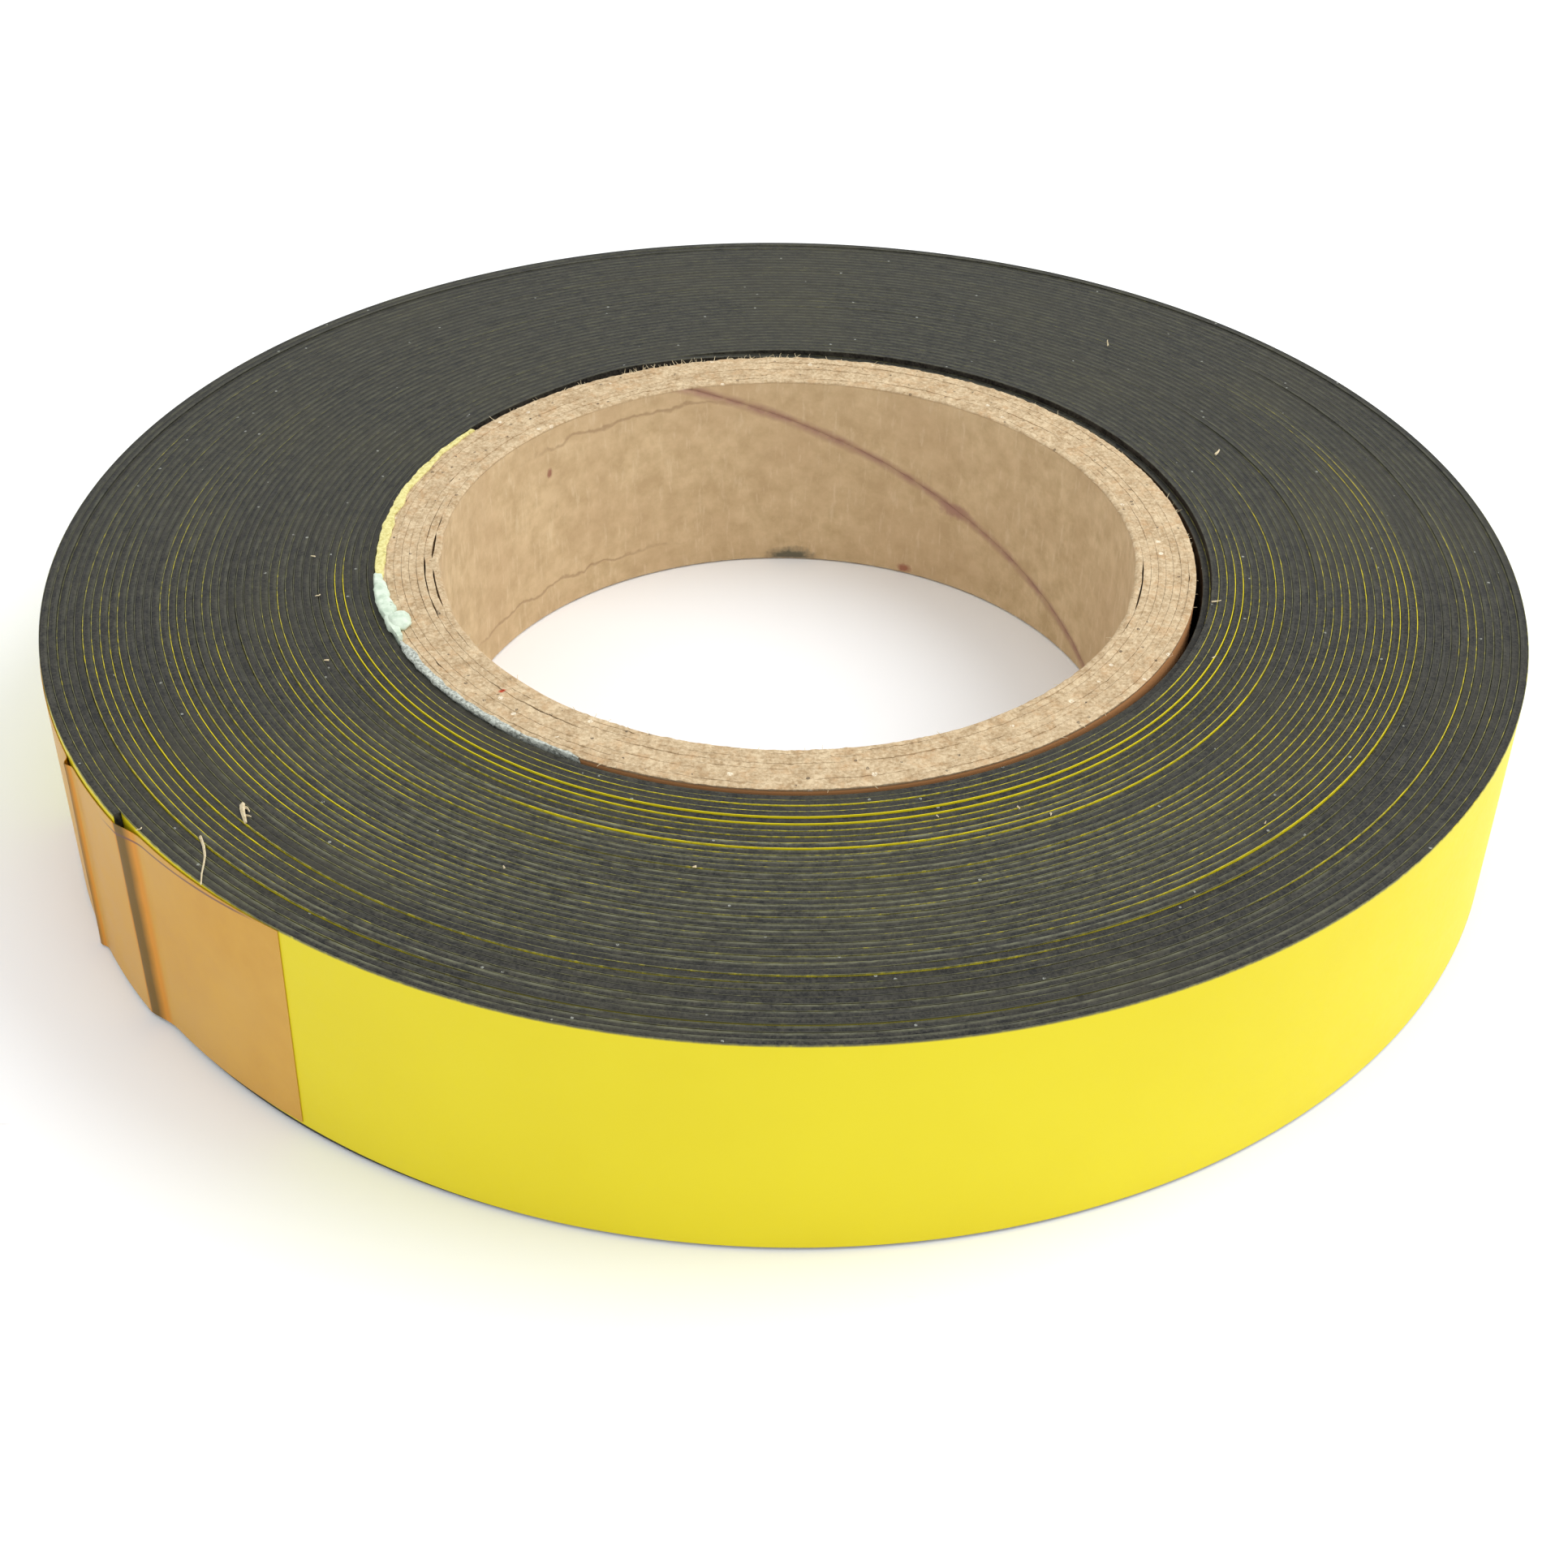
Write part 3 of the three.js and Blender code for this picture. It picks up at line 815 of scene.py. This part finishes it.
def ply(number):
    inner = BORE_RADIUS + (number - 1) * PLY_PITCH
    seam = FIRST_SEAM + (number - 1) * SEAM_SPACING
    seam_angle = math.degrees(SEAM_GAP / inner)
    slices = round((360 - seam_angle) / PLY_SLICE_ANGLE)
    slice_angle = (360 - seam_angle) / slices
    levels = (PLY_THICKNESS / 3, PLY_THICKNESS * 2 / 3)
    piece = flat_blank(slices, 0, PLY_THICKNESS, 0, CORE_LENGTH, PLY_ROWS, levels)
    from_seam = np.minimum(points_of(piece)[:, 0], slices - points_of(piece)[:, 0]) * slice_angle
    store(piece, "seam_distance", np.radians(from_seam) * inner)

    def radius_at(angle, height):
        thin_edge = 0.14 * MM * np.clip(1 - np.radians(from_seam) * inner / (0.9 * MM), 0, 1)
        inward = thin_edge * (points_of(piece)[:, 1] < PLY_THICKNESS / 2)
        return inner + inward - loosened(number, angle % 360, height)

    def lift_at(angle, height):
        uneven = wavering(angle % 360 / 9 + number * 41)
        depth = points_of(piece)[:, 1]
        inner_corner = (depth < 1e-6) * (number == 1)
        outer_corner = (depth > PLY_THICKNESS - 1e-6) * (number == PLY_COUNT)
        from_middle = height - CORE_LENGTH / 2
        end_share = np.sign(from_middle) * (np.abs(from_middle) > CORE_LENGTH / 2 - 1e-6)
        worn = (inner_corner + 0.4 * outer_corner) * end_share
        return 0.07 * MM * uneven * (from_middle > 0) - 0.2 * MM * worn

    start = seam + seam_angle / 2
    roll_up(piece, start, slice_angle, radius_at, lift_at, lean=SEAM_TWIST / CORE_LENGTH)
    ends = piece.vertex_groups.new(name="cut_ends")
    heights = points_of(piece)[:, 2]
    chosen = np.nonzero(np.abs(heights - CORE_LENGTH / 2) > CORE_LENGTH / 2 - 0.15 * MM)[0]
    ends.add(chosen.tolist(), 1.0, "REPLACE")
    for texture, strength in ((fibre_lumps, 0.26 * MM), (fibre_ends, 0.22 * MM)):
        apply_modifier(
            piece, "DISPLACE", texture=texture, texture_coords="LOCAL", direction="Z",
            strength=strength, mid_level=0.5, vertex_group="cut_ends",
        )
    on_table = points_of(piece)
    on_table[:, 2] = np.maximum(on_table[:, 2], 0)
    set_points(piece, on_table)
    finish_piece(piece, f"core_board_{number}", cardboard, 50)
    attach(piece, "roll")
    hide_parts(f"core_ply_{number}")
    return piece


plies = [ply(number) for number in range(1, PLY_COUNT + 1)]
print("core:", sum(len(piece.data.polygons) for piece in plies), "faces")

# %% [markdown]
# ## Torn fibres and lint
#
# Sawn board never has a clean edge. Short fibres stand out along both rims of the end, and a few bits
# of paper lint lie on the roll. One fibre is a cube drawn out in four tapering steps. Each copy gets
# its own length, bend and place, and the copies are joined.

# %% One fibre, and many


def fibre_template():
    start_fresh()
    bpy.ops.mesh.primitive_cube_add(size=1, location=(0.1, 0, 0), scale=(0.2, 1, 0.7))
    piece = bpy.context.object
    bpy.ops.object.transform_apply(location=True, rotation=True, scale=True)
    for _ in range(4):
        edit_faces(piece, lambda face: face.normal.x > 0.9)
        bpy.ops.mesh.extrude_region_move(TRANSFORM_OT_translate={"value": (0.2, 0, 0)})
        bpy.ops.transform.resize(value=(1, 0.86, 0.86), center_override=(0, 0, 0))
        bpy.ops.object.mode_set(mode="OBJECT")
    return piece


def fibre_copy(template, place, direction, length, thickness, bend):
    copy = bpy.data.objects.new("fibre", template.data.copy())
    bpy.context.collection.objects.link(copy)
    points = points_of(template)
    forward = Vector(direction).normalized()
    aside = forward.orthogonal().normalized()
    frame_axes = np.array([forward, aside, forward.cross(aside)])
    curved = np.stack([
        points[:, 0] * length,
        points[:, 1] * thickness + bend * length * points[:, 0] ** 2,
        points[:, 2] * thickness + bend * length * 0.4 * np.sin(points[:, 0] * 5),
    ], axis=1)
    set_points(copy, np.array(place) + curved @ frame_axes)
    return copy


def join_fibres(name, rows, material):
    template = fibre_template()
    copies = [fibre_copy(template, *row) for row in rows]
    bpy.data.objects.remove(template)
    start_fresh()
    for copy in copies:
        copy.select_set(True)
    bpy.context.view_layer.objects.active = copies[0]
    bpy.ops.object.join()
    piece = finish_piece(copies[0], name, material, 60)
    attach(piece, "roll")
    return piece


# %% Fibres on the rims of the core
CORE_RADIUS = BORE_RADIUS + PLY_COUNT * PLY_PITCH - PLY_GLUE_GAP
fibre_random = np.random.default_rng(21)


def rim_fibre(radius, low_heading, high_heading, outward):
    heading = math.radians(fibre_random.uniform(low_heading, high_heading))
    spin = heading + fibre_random.uniform(-1.3, 1.3) + (0 if outward > 0 else math.pi)
    depth = fibre_random.uniform(0.08, 0.2) * MM
    place = (radius * math.cos(heading), radius * math.sin(heading), CORE_LENGTH - depth)
    direction = (math.cos(spin), math.sin(spin), fibre_random.uniform(0.05, 0.9))
    length = fibre_random.uniform(0.25, 0.8) * MM
    thickness = fibre_random.uniform(0.03, 0.07) * MM
    return (place, direction, length, thickness, fibre_random.uniform(-0.4, 0.4))


rows = [rim_fibre(CORE_RADIUS - 0.1 * MM, 0, 360, 1) for _ in range(110)]
rows += [rim_fibre(CORE_RADIUS - 0.1 * MM, 86, 118, 1) for _ in range(60)]
rows += [rim_fibre(BORE_RADIUS + 0.3 * MM, 0, 360, -1) for _ in range(60)]
rows += [rim_fibre(fibre_random.uniform(38.6, 44.2) * MM, 0, 360, 1) for _ in range(90)]
join_fibres("core_torn_fibres", rows, lint)
print(len(rows), "torn fibres on the core")

# %% [markdown]
# The lint is placed one by one: two long fibres, one of them branched, and a few crumbs that catch the
# eye on the dark rubber.

# %% Lint: heading, distance from the axis, direction, length, thickness, bend, in degrees and mm
FACE_LEVEL = STRIP_WIDTH + 0.28 * MM
LINT = (
    (224.5, 75.2, 288, 7.0, 0.21, 0.10),
    (223.3, 69.7, 284, 3.2, 0.42, -0.05),
    (223.7, 69.9, 345, 0.8, 0.28, -0.5),
    (224.6, 70.6, 10, 0.7, 0.26, -0.4),
    (347.5, 46.4, 340, 1.0, 0.17, 0.15),
    (207.0, 52.3, 190, 0.5, 0.18, 0.10),
    (193.0, 50.9, 240, 0.6, 0.16, 0.20),
    (184.3, 51.5, 175, 0.5, 0.14, 0.10),
    (295.5, 51.2, 292, 0.6, 0.14, 0.10),
    (286.7, 49.9, 300, 0.45, 0.12, 0.10),
    (298.0, 53.4, 280, 0.5, 0.16, 0.20),
    (262.0, 56.5, 200, 0.35, 0.22, 0.10),
    (334.5, 48.5, 20, 0.6, 0.15, 0.20),
    (23.7, 54.7, 35, 0.9, 0.28, 0.25),
    (51.0, 64.0, 95, 0.9, 0.16, 0.20),
    (221.0, 78.6, 250, 0.6, 0.12, 0.30),
    (246.0, 62.0, 120, 0.3, 0.15, 0.10),
    (313.0, 66.0, 60, 0.3, 0.12, 0.10),
)
rows = []
for heading, radius, direction, length, thickness, bend in LINT:
    spin = math.radians(direction)
    rise = 0.04 if length > 1.5 else 0.25
    lint_place = round_place(radius * MM, heading, FACE_LEVEL)
    pointing = (math.cos(spin), math.sin(spin), rise)
    rows.append((lint_place, pointing, length * MM, thickness * MM, bend))
join_fibres("paper_lint_on_roll", rows, lint)

# %% [markdown]
# ## Foam tape and glue
#
# The foam was squeezed as the first turn went on, so it bulges out of the gap, over the core's rim.
# Its blank is a thin wall with a lip pulled inwards and outwards at the top. The lip is smoothed once
# and then made lumpy with a Displace modifier.

# %% Squeezed foam and glue


def squeezed(
    name, node, material, start, end, wall_low, lip_low, top, inward, outward, lumps, swell
):
    wall = CORE_RADIUS + 0.05 * MM
    thickness = 0.16 * MM
    slice_angle = 0.8
    slices = round((end - start) / slice_angle)

    def pull_lips(piece):
        for side, reach in ((-1, inward), (1, outward)):
            edit_faces(piece, lambda face: face.normal.y * side > 0.9 and face.center.z > lip_low)
            for drop in (0, -0.03 * MM):
                pull = {"value": (0, side * reach / 2, drop)}
                bpy.ops.mesh.extrude_region_move(TRANSFORM_OT_translate=pull)
            bpy.ops.object.mode_set(mode="OBJECT")

    piece = flat_blank(slices, 0, thickness, wall_low, top, (lip_low, 12.8 * MM), shape=pull_lips)
    depth = points_of(piece)[:, 1]

    def radius_at(angle, height):
        wave = 0.75 + 0.35 * wavering(angle / 2.1)
        taper = bell(angle, start + 2, end - 1, 7) * wave * np.interp(angle, (start, end), swell)
        over = np.minimum(depth, 0) + np.maximum(depth - thickness, 0)
        return wall + over * (taper - 1)

    def lift_at(angle, height):
        sink = 0.25 * MM * (1 - bell(angle, start + 2, end - 1, 7))
        return -sink * (height > lip_low)

    roll_up(piece, start, slice_angle, radius_at, lift_at)
    apply_modifier(piece, "SUBSURF", levels=1, render_levels=1)
    lip = piece.vertex_groups.new(name="lip")
    chosen = np.nonzero(points_of(piece)[:, 2] > lip_low - 0.2 * MM)[0]
    lip.add(chosen.tolist(), 1.0, "REPLACE")
    for texture, share in ((glue_lumps, 1.0), (fibre_lumps, 0.6)):
        apply_modifier(
            piece, "DISPLACE", texture=texture, texture_coords="LOCAL", direction="NORMAL",
            strength=lumps * share, mid_level=0.45, vertex_group="lip",
        )
    finish_piece(piece, name, material, 70)
    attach(piece, "roll")
    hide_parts(node)
    return piece


glue_lumps = cloud_texture("glue_lumps", 0.0021)
squeezed(
    "yellow_foam_squeezed", "yellow_foam_tape", yellow_foam, 146.5, 191.5,
    0.4 * MM, 25.5 * MM, 25.9 * MM, 1.15 * MM, 0.10 * MM, 0.34 * MM, (0.25, 1.25),
)
squeezed(
    "glue_bead_hardened", "glue_bead", mint_glue, 190.5, 207.5,
    12.6 * MM, 25.45 * MM, 26.3 * MM, 1.3 * MM, 0.7 * MM, 0.8 * MM, (0.8, 1.15),
)
squeezed(
    "grey_foam_squeezed", "grey_foam_tape", grey_foam, 206.5, 244,
    0.4 * MM, 25.45 * MM, 25.85 * MM, 0.45 * MM, 0.45 * MM, 0.42 * MM, (1.25, 0.15),
)

# %% Lump at the end of the glue bead
start_fresh()
LUMP_PLACE = round_place(43.7 * MM, 203.2, 26.0 * MM)
bpy.ops.mesh.primitive_ico_sphere_add(subdivisions=4, radius=1.15 * MM, location=LUMP_PLACE)
glue_lump = bpy.context.object
bpy.ops.object.transform_apply(location=True, rotation=True, scale=True)
bpy.ops.object.mode_set(mode="EDIT")
bpy.ops.transform.resize(value=(1.15, 1.45, 0.6), center_override=LUMP_PLACE)
bpy.ops.object.mode_set(mode="OBJECT")
for texture, strength in ((glue_lumps, 0.9 * MM), (fibre_lumps, 0.5 * MM)):
    apply_modifier(
        glue_lump, "DISPLACE", texture=texture, texture_coords="LOCAL",
        strength=strength, mid_level=0.5,
    )
finish_piece(glue_lump, "glue_lump", mint_glue, 70)
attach(glue_lump, "roll")
print("foam and glue fixed to the core")

# %% [markdown]
# ## The wound turns
#
# The strip runs on without a break, but it is made here in the same sections as the frame: the first
# turn, five groups of turns, and the outer turn. Each section is two pieces, the ferrite and the
# vinyl bonded to its outer side. The vinyl stops a little short of the lower edge.

# %% Strip sections
VINYL_DEPTH = FERRITE_THICKNESS + BOND_GAP
SOFT_EDGE = 0.05 * MM
LONG_SLICE = 2
SHORT_SLICE = 0.5
FACE_ROWS = tuple(np.linspace(5 * MM, 20 * MM, 4))


def bare_foot(angle):
    """Height of bare ferrite below the vinyl. It is widest at the front left, around headings 215 to
    246.
    """
    return (0.12 + 0.36 * bell((angle - 90) % 360 + 90, 215, 246, 24)) * MM


def strip_section(name, start, end, slice_angle, heights=(), lift_at=level_lift):
    slices = max(1, round((end - start) / slice_angle))
    slice_angle = (end - start) / slices
    ferrite_layer = flat_blank(
        slices, 0, FERRITE_THICKNESS, 0, STRIP_WIDTH, heights, soft_edge=SOFT_EDGE
    )
    angle, _ = roll_up(ferrite_layer, start, slice_angle, lift_at=lift_at)
    store(ferrite_layer, "film_share", film_share(angle))
    finish_piece(ferrite_layer, f"{name}_ferrite_wound", ferrite)
    vinyl_layer = flat_blank(slices, VINYL_DEPTH, VINYL_THICKNESS, 0, STRIP_WIDTH, heights)

    def vinyl_lift(angle, height):
        return lift_at(angle, height) + bare_foot(angle) * (height < 0.1 * MM)

    angle, _ = roll_up(vinyl_layer, start, slice_angle, lift_at=vinyl_lift)
    store(vinyl_layer, "smear_share", smear_share(angle))
    finish_piece(vinyl_layer, f"{name}_vinyl_wound", vinyl)
    return ferrite_layer, vinyl_layer


# %% Inner turn
INNER_RECESS = -0.34 * MM
SLIPPED = 1.0 * MM


def inner_lift(angle, height):
    """The first turn has slipped down where the gap beside the core is widest."""
    loose = bell(angle, 330, GROUPS_START - 25, 40)
    joined = np.clip((GROUPS_START - angle) / 12, 0, 1)
    return -(INNER_RECESS + SLIPPED * loose) * joined * height / STRIP_WIDTH


inner_pieces = strip_section("inner_turn", INNER_START, GROUPS_START, LONG_SLICE, lift_at=inner_lift)
for piece, node in zip(inner_pieces, ("inner_turn_ferrite", "inner_turn_vinyl")):
    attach(piece, "roll")
    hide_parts(node)

# %% Turn groups and outer turn
start = GROUPS_START
for number, turns in enumerate(GROUP_TURNS, 1):
    for piece in strip_section(f"turn_group_{number}", start, start + turns * 360, LONG_SLICE):
        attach(piece, "roll")
        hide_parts(f"turn_group_{number}")
    start += turns * 360

outer_pieces = strip_section("outer_turn", start, FREE_START - LINK_ANGLE / 2, SHORT_SLICE, FACE_ROWS)
for piece, node in zip(outer_pieces, ("outer_turn_ferrite", "outer_turn_vinyl")):
    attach(piece, "roll")
    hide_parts(node)
wound_pieces = [piece for piece in bpy.data.objects if piece.name.endswith("_wound")]
print("wound strip:", sum(len(piece.data.polygons) for piece in wound_pieces), "faces")

# %% [markdown]
# ## The free end
#
# The last quarter turn can be peeled away. In the frame it is six rigid links on hinges. A real strip
# bends evenly, so each piece here spans from the middle of one link to the middle of the next, across
# the hinge between them. Neighbouring pieces meet in the middle of a link.

# %% Free end pieces


links = ["roll"] + [f"free_end_{number}" for number in range(1, LINK_COUNT + 1)]
for number in range(1, LINK_COUNT + 1):
    hinge = FREE_START + (number - 1) * LINK_ANGLE
    start, end = hinge - LINK_ANGLE / 2, hinge + LINK_ANGLE / 2
    pieces = strip_section(f"free_end_{number}", start, end, SHORT_SLICE, FACE_ROWS)
    for piece, layer in zip(pieces, ("ferrite", "vinyl")):
        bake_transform(piece)
        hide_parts(f"free_end_{number}_{layer}")
tip_start = OUTER_END - LINK_ANGLE / 2
for piece in strip_section("strip_tip", tip_start, OUTER_END, SHORT_SLICE, FACE_ROWS):
    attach(piece, links[-1])
print("free end spans", LINK_COUNT, "hinges")

# %% [markdown]
# ## The closing tape
#
# The tape is a blank 0.08 mm thick. Its shape is all in how far it stands from the axis: it follows
# the strip, drops over the strip's end on to the turn beneath, and has one wrinkle across it. It is
# split where it has to bend, like the strip.

# %% Tape shape
TAPE_THICKNESS = 0.08 * MM
TAPE_LIFT = 0.04 * MM
TAPE_LOW = 0.7 * MM
TAPE_HIGH = 24.7 * MM
TAPE_START = OUTER_END - 25
TAPE_TIP = OUTER_END + 17.0
TAPE_BRIDGE = 3.0
TAPE_SLANT = 0.035 * MM
WRINKLE = {"at": OUTER_END - 8.3, "lean": -0.9, "half_width": 0.42, "height": 0.55 * MM}
TAPE_ROWS = tuple(np.linspace(TAPE_LOW, TAPE_HIGH, 18)[1:-1])
TAPE_SLICE = 0.25


def standing_off(angle, height):
    """How far the tape stands away from what it covers."""
    after = np.clip((angle - OUTER_END) / TAPE_BRIDGE, 0, 1)
    step = strip_radius(OUTER_END) - strip_radius(OUTER_END - 360)
    bridge = step * (1 - after**1.4 * (2.4 - 1.4 * after)) * (angle > OUTER_END)
    line = WRINKLE["at"] + WRINKLE["lean"] * (1 - height / TAPE_HIGH)
    wrinkle = WRINKLE["height"] * np.exp(-(((angle - line) / WRINKLE["half_width"]) ** 2))
    return np.maximum(bridge, 0) + wrinkle


def tape_gap(angle, height):
    """The same distance, eased in over the strip's end so that it can be stored on the mesh."""
    past_end = np.clip((angle - OUTER_END + 0.1) / 0.35, 0, 1)
    just_past = np.where(angle > OUTER_END, angle, OUTER_END + 1e-6)
    near_end = np.abs(angle - OUTER_END) < 0.3
    return np.where(near_end, standing_off(just_past, height) * past_end, standing_off(angle, height))


def tape_radius(angle, height):
    beneath = np.where(angle > OUTER_END, angle - 360, angle)
    face = strip_radius(beneath) + STRIP_THICKNESS
    near_top = np.clip((height - 23.6 * MM) / (1.1 * MM), 0, 1) ** 2
    curl = 0.06 * MM * near_top * bell(angle, OUTER_END - 8, OUTER_END + 14, 5)
    return face + TAPE_LIFT + standing_off(angle, height) + curl


def tape_lift(angle, height):
    return 0.03 * MM + TAPE_SLANT * np.clip(angle - OUTER_END - 8.5, -16, 20)


def crease_distance(angle, height):
    """Height above the crease that runs along the tape's upper edge."""
    crease = 23.45 * MM + 0.075 * MM * (angle - OUTER_END)
    return height - crease


# %% Tape pieces
STUCK_END = OUTER_END - LINK_ANGLE / 2
TAIL_START = OUTER_END + 5.5
TAIL_FOLD = OUTER_END + 10
tape_sections = (
    ("closing_tape_over_link", TAPE_START, STUCK_END, ("closing_tape_start",),
     "free_end_5", "free_end_6", OUTER_END - 22.5, STUCK_END),
    ("closing_tape_over_end", STUCK_END, TAIL_START, ("closing_tape_middle", "closing_tape_tail"),
     "free_end_6", "tape_tail", OUTER_END - 0.6, OUTER_END + 4),
    ("closing_tape_last", TAIL_START, TAPE_TIP, ("closing_tape_tip",),
     "tape_tail", "tape_tip", TAIL_FOLD - 3, TAIL_FOLD + 3),
)
for name, start, end, nodes, before, after, bend_start, bend_end in tape_sections:
    slices = round((end - start) / TAPE_SLICE)
    piece = flat_blank(slices, 0, TAPE_THICKNESS, TAPE_LOW, TAPE_HIGH, TAPE_ROWS)
    slice_angle = (end - start) / slices
    angle, height = roll_up(piece, start, slice_angle, tape_radius, tape_lift, lean=0.5 / TAPE_HIGH)
    store(piece, "tape_gap", tape_gap(angle, height))
    store(piece, "crease_distance", crease_distance(angle, height))
    store(piece, "crease_share", bell(angle, OUTER_END - 1.5, OUTER_END + 14.5, 3))
    finish_piece(piece, name, tape, 60)
    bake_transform(piece)
    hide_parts(*nodes)
print("closing tape in", len(tape_sections), "pieces")

# %% [markdown]
# ## Camera, floor and light
#
# The camera stands a little above the front of the roll. The stage is a pale sheet and a pale sky,
# with one wide soft light high on the right and behind, which leaves a faint shadow at the front
# left, and a weaker one on the right in front.

# %% Camera
CAMERA_DISTANCE = 270.8 * MM
CAMERA_HEIGHT_ANGLE = 35.98
CAMERA_PITCH = 37.28
CAMERA_ROLL = 0.92
camera_data = bpy.data.cameras.new("camera")
camera = bpy.data.objects.new("camera", camera_data)
bpy.context.collection.objects.link(camera)
height_angle = math.radians(CAMERA_HEIGHT_ANGLE)
back, up = CAMERA_DISTANCE * math.cos(height_angle), CAMERA_DISTANCE * math.sin(height_angle)
camera.location = (0, -back, up)
tilt = Matrix.Rotation(math.radians(90 - CAMERA_PITCH), 4, "X")
camera.rotation_euler = (tilt @ Matrix.Rotation(math.radians(CAMERA_ROLL), 4, "Z")).to_euler()
camera_data.lens = 53.26
camera_data.clip_start = 0.01
camera_data.clip_end = 20
bpy.context.scene.camera = camera

# %% Floor
start_fresh()
bpy.ops.mesh.primitive_plane_add(size=6, location=(0, 0, -0.00005))
floor = bpy.context.object
floor.name = "floor"
paper, tree, shader, place = new_material("floor_paper", (0.9, 0.9, 0.9))
sheet = noise(tree, place, 9.0, 3.0)
tone = mix_colour(tree, span(tree, sheet, 0.35, 0.65), (0.965, 0.98, 1.0, 1), (0.98, 0.99, 1.0, 1))
marks = noise(tree, stretched(tree, place, (25, 160, 1)), 1.0, 5.0, 0.7)
tone = mix_colour(tree, span(tree, marks, 0.69, 0.74, 0, 0.3), tone, (0.55, 0.53, 0.52, 1))
tree.links.new(tone, shader.inputs["Base Color"])
shader.inputs["Roughness"].default_value = 0.9
floor.data.materials.append(paper)

# %% Lights
world = bpy.data.worlds.new("world")
world.use_nodes = True
world.node_tree.nodes["Background"].inputs["Color"].default_value = (0.965, 0.985, 1.0, 1)
world.node_tree.nodes["Background"].inputs["Strength"].default_value = 0.99
bpy.context.scene.world = world


def soft_light(name, place, size, power, target=(0, 0, 0.01)):
    data = bpy.data.lights.new(name, "AREA")
    data.shape = "DISK"
    data.size = size
    data.energy = power
    light = bpy.data.objects.new(name, data)
    bpy.context.collection.objects.link(light)
    light.location = place
    light.rotation_euler = (Vector(target) - Vector(place)).to_track_quat("-Z", "Y").to_euler()


soft_light("key", (0.60, 0.10, 0.75), 0.7, 4.2)
soft_light("fill", (0.7, -0.6, 0.5), 0.8, 1.2)
bpy.context.scene.view_settings.view_transform = "Standard"
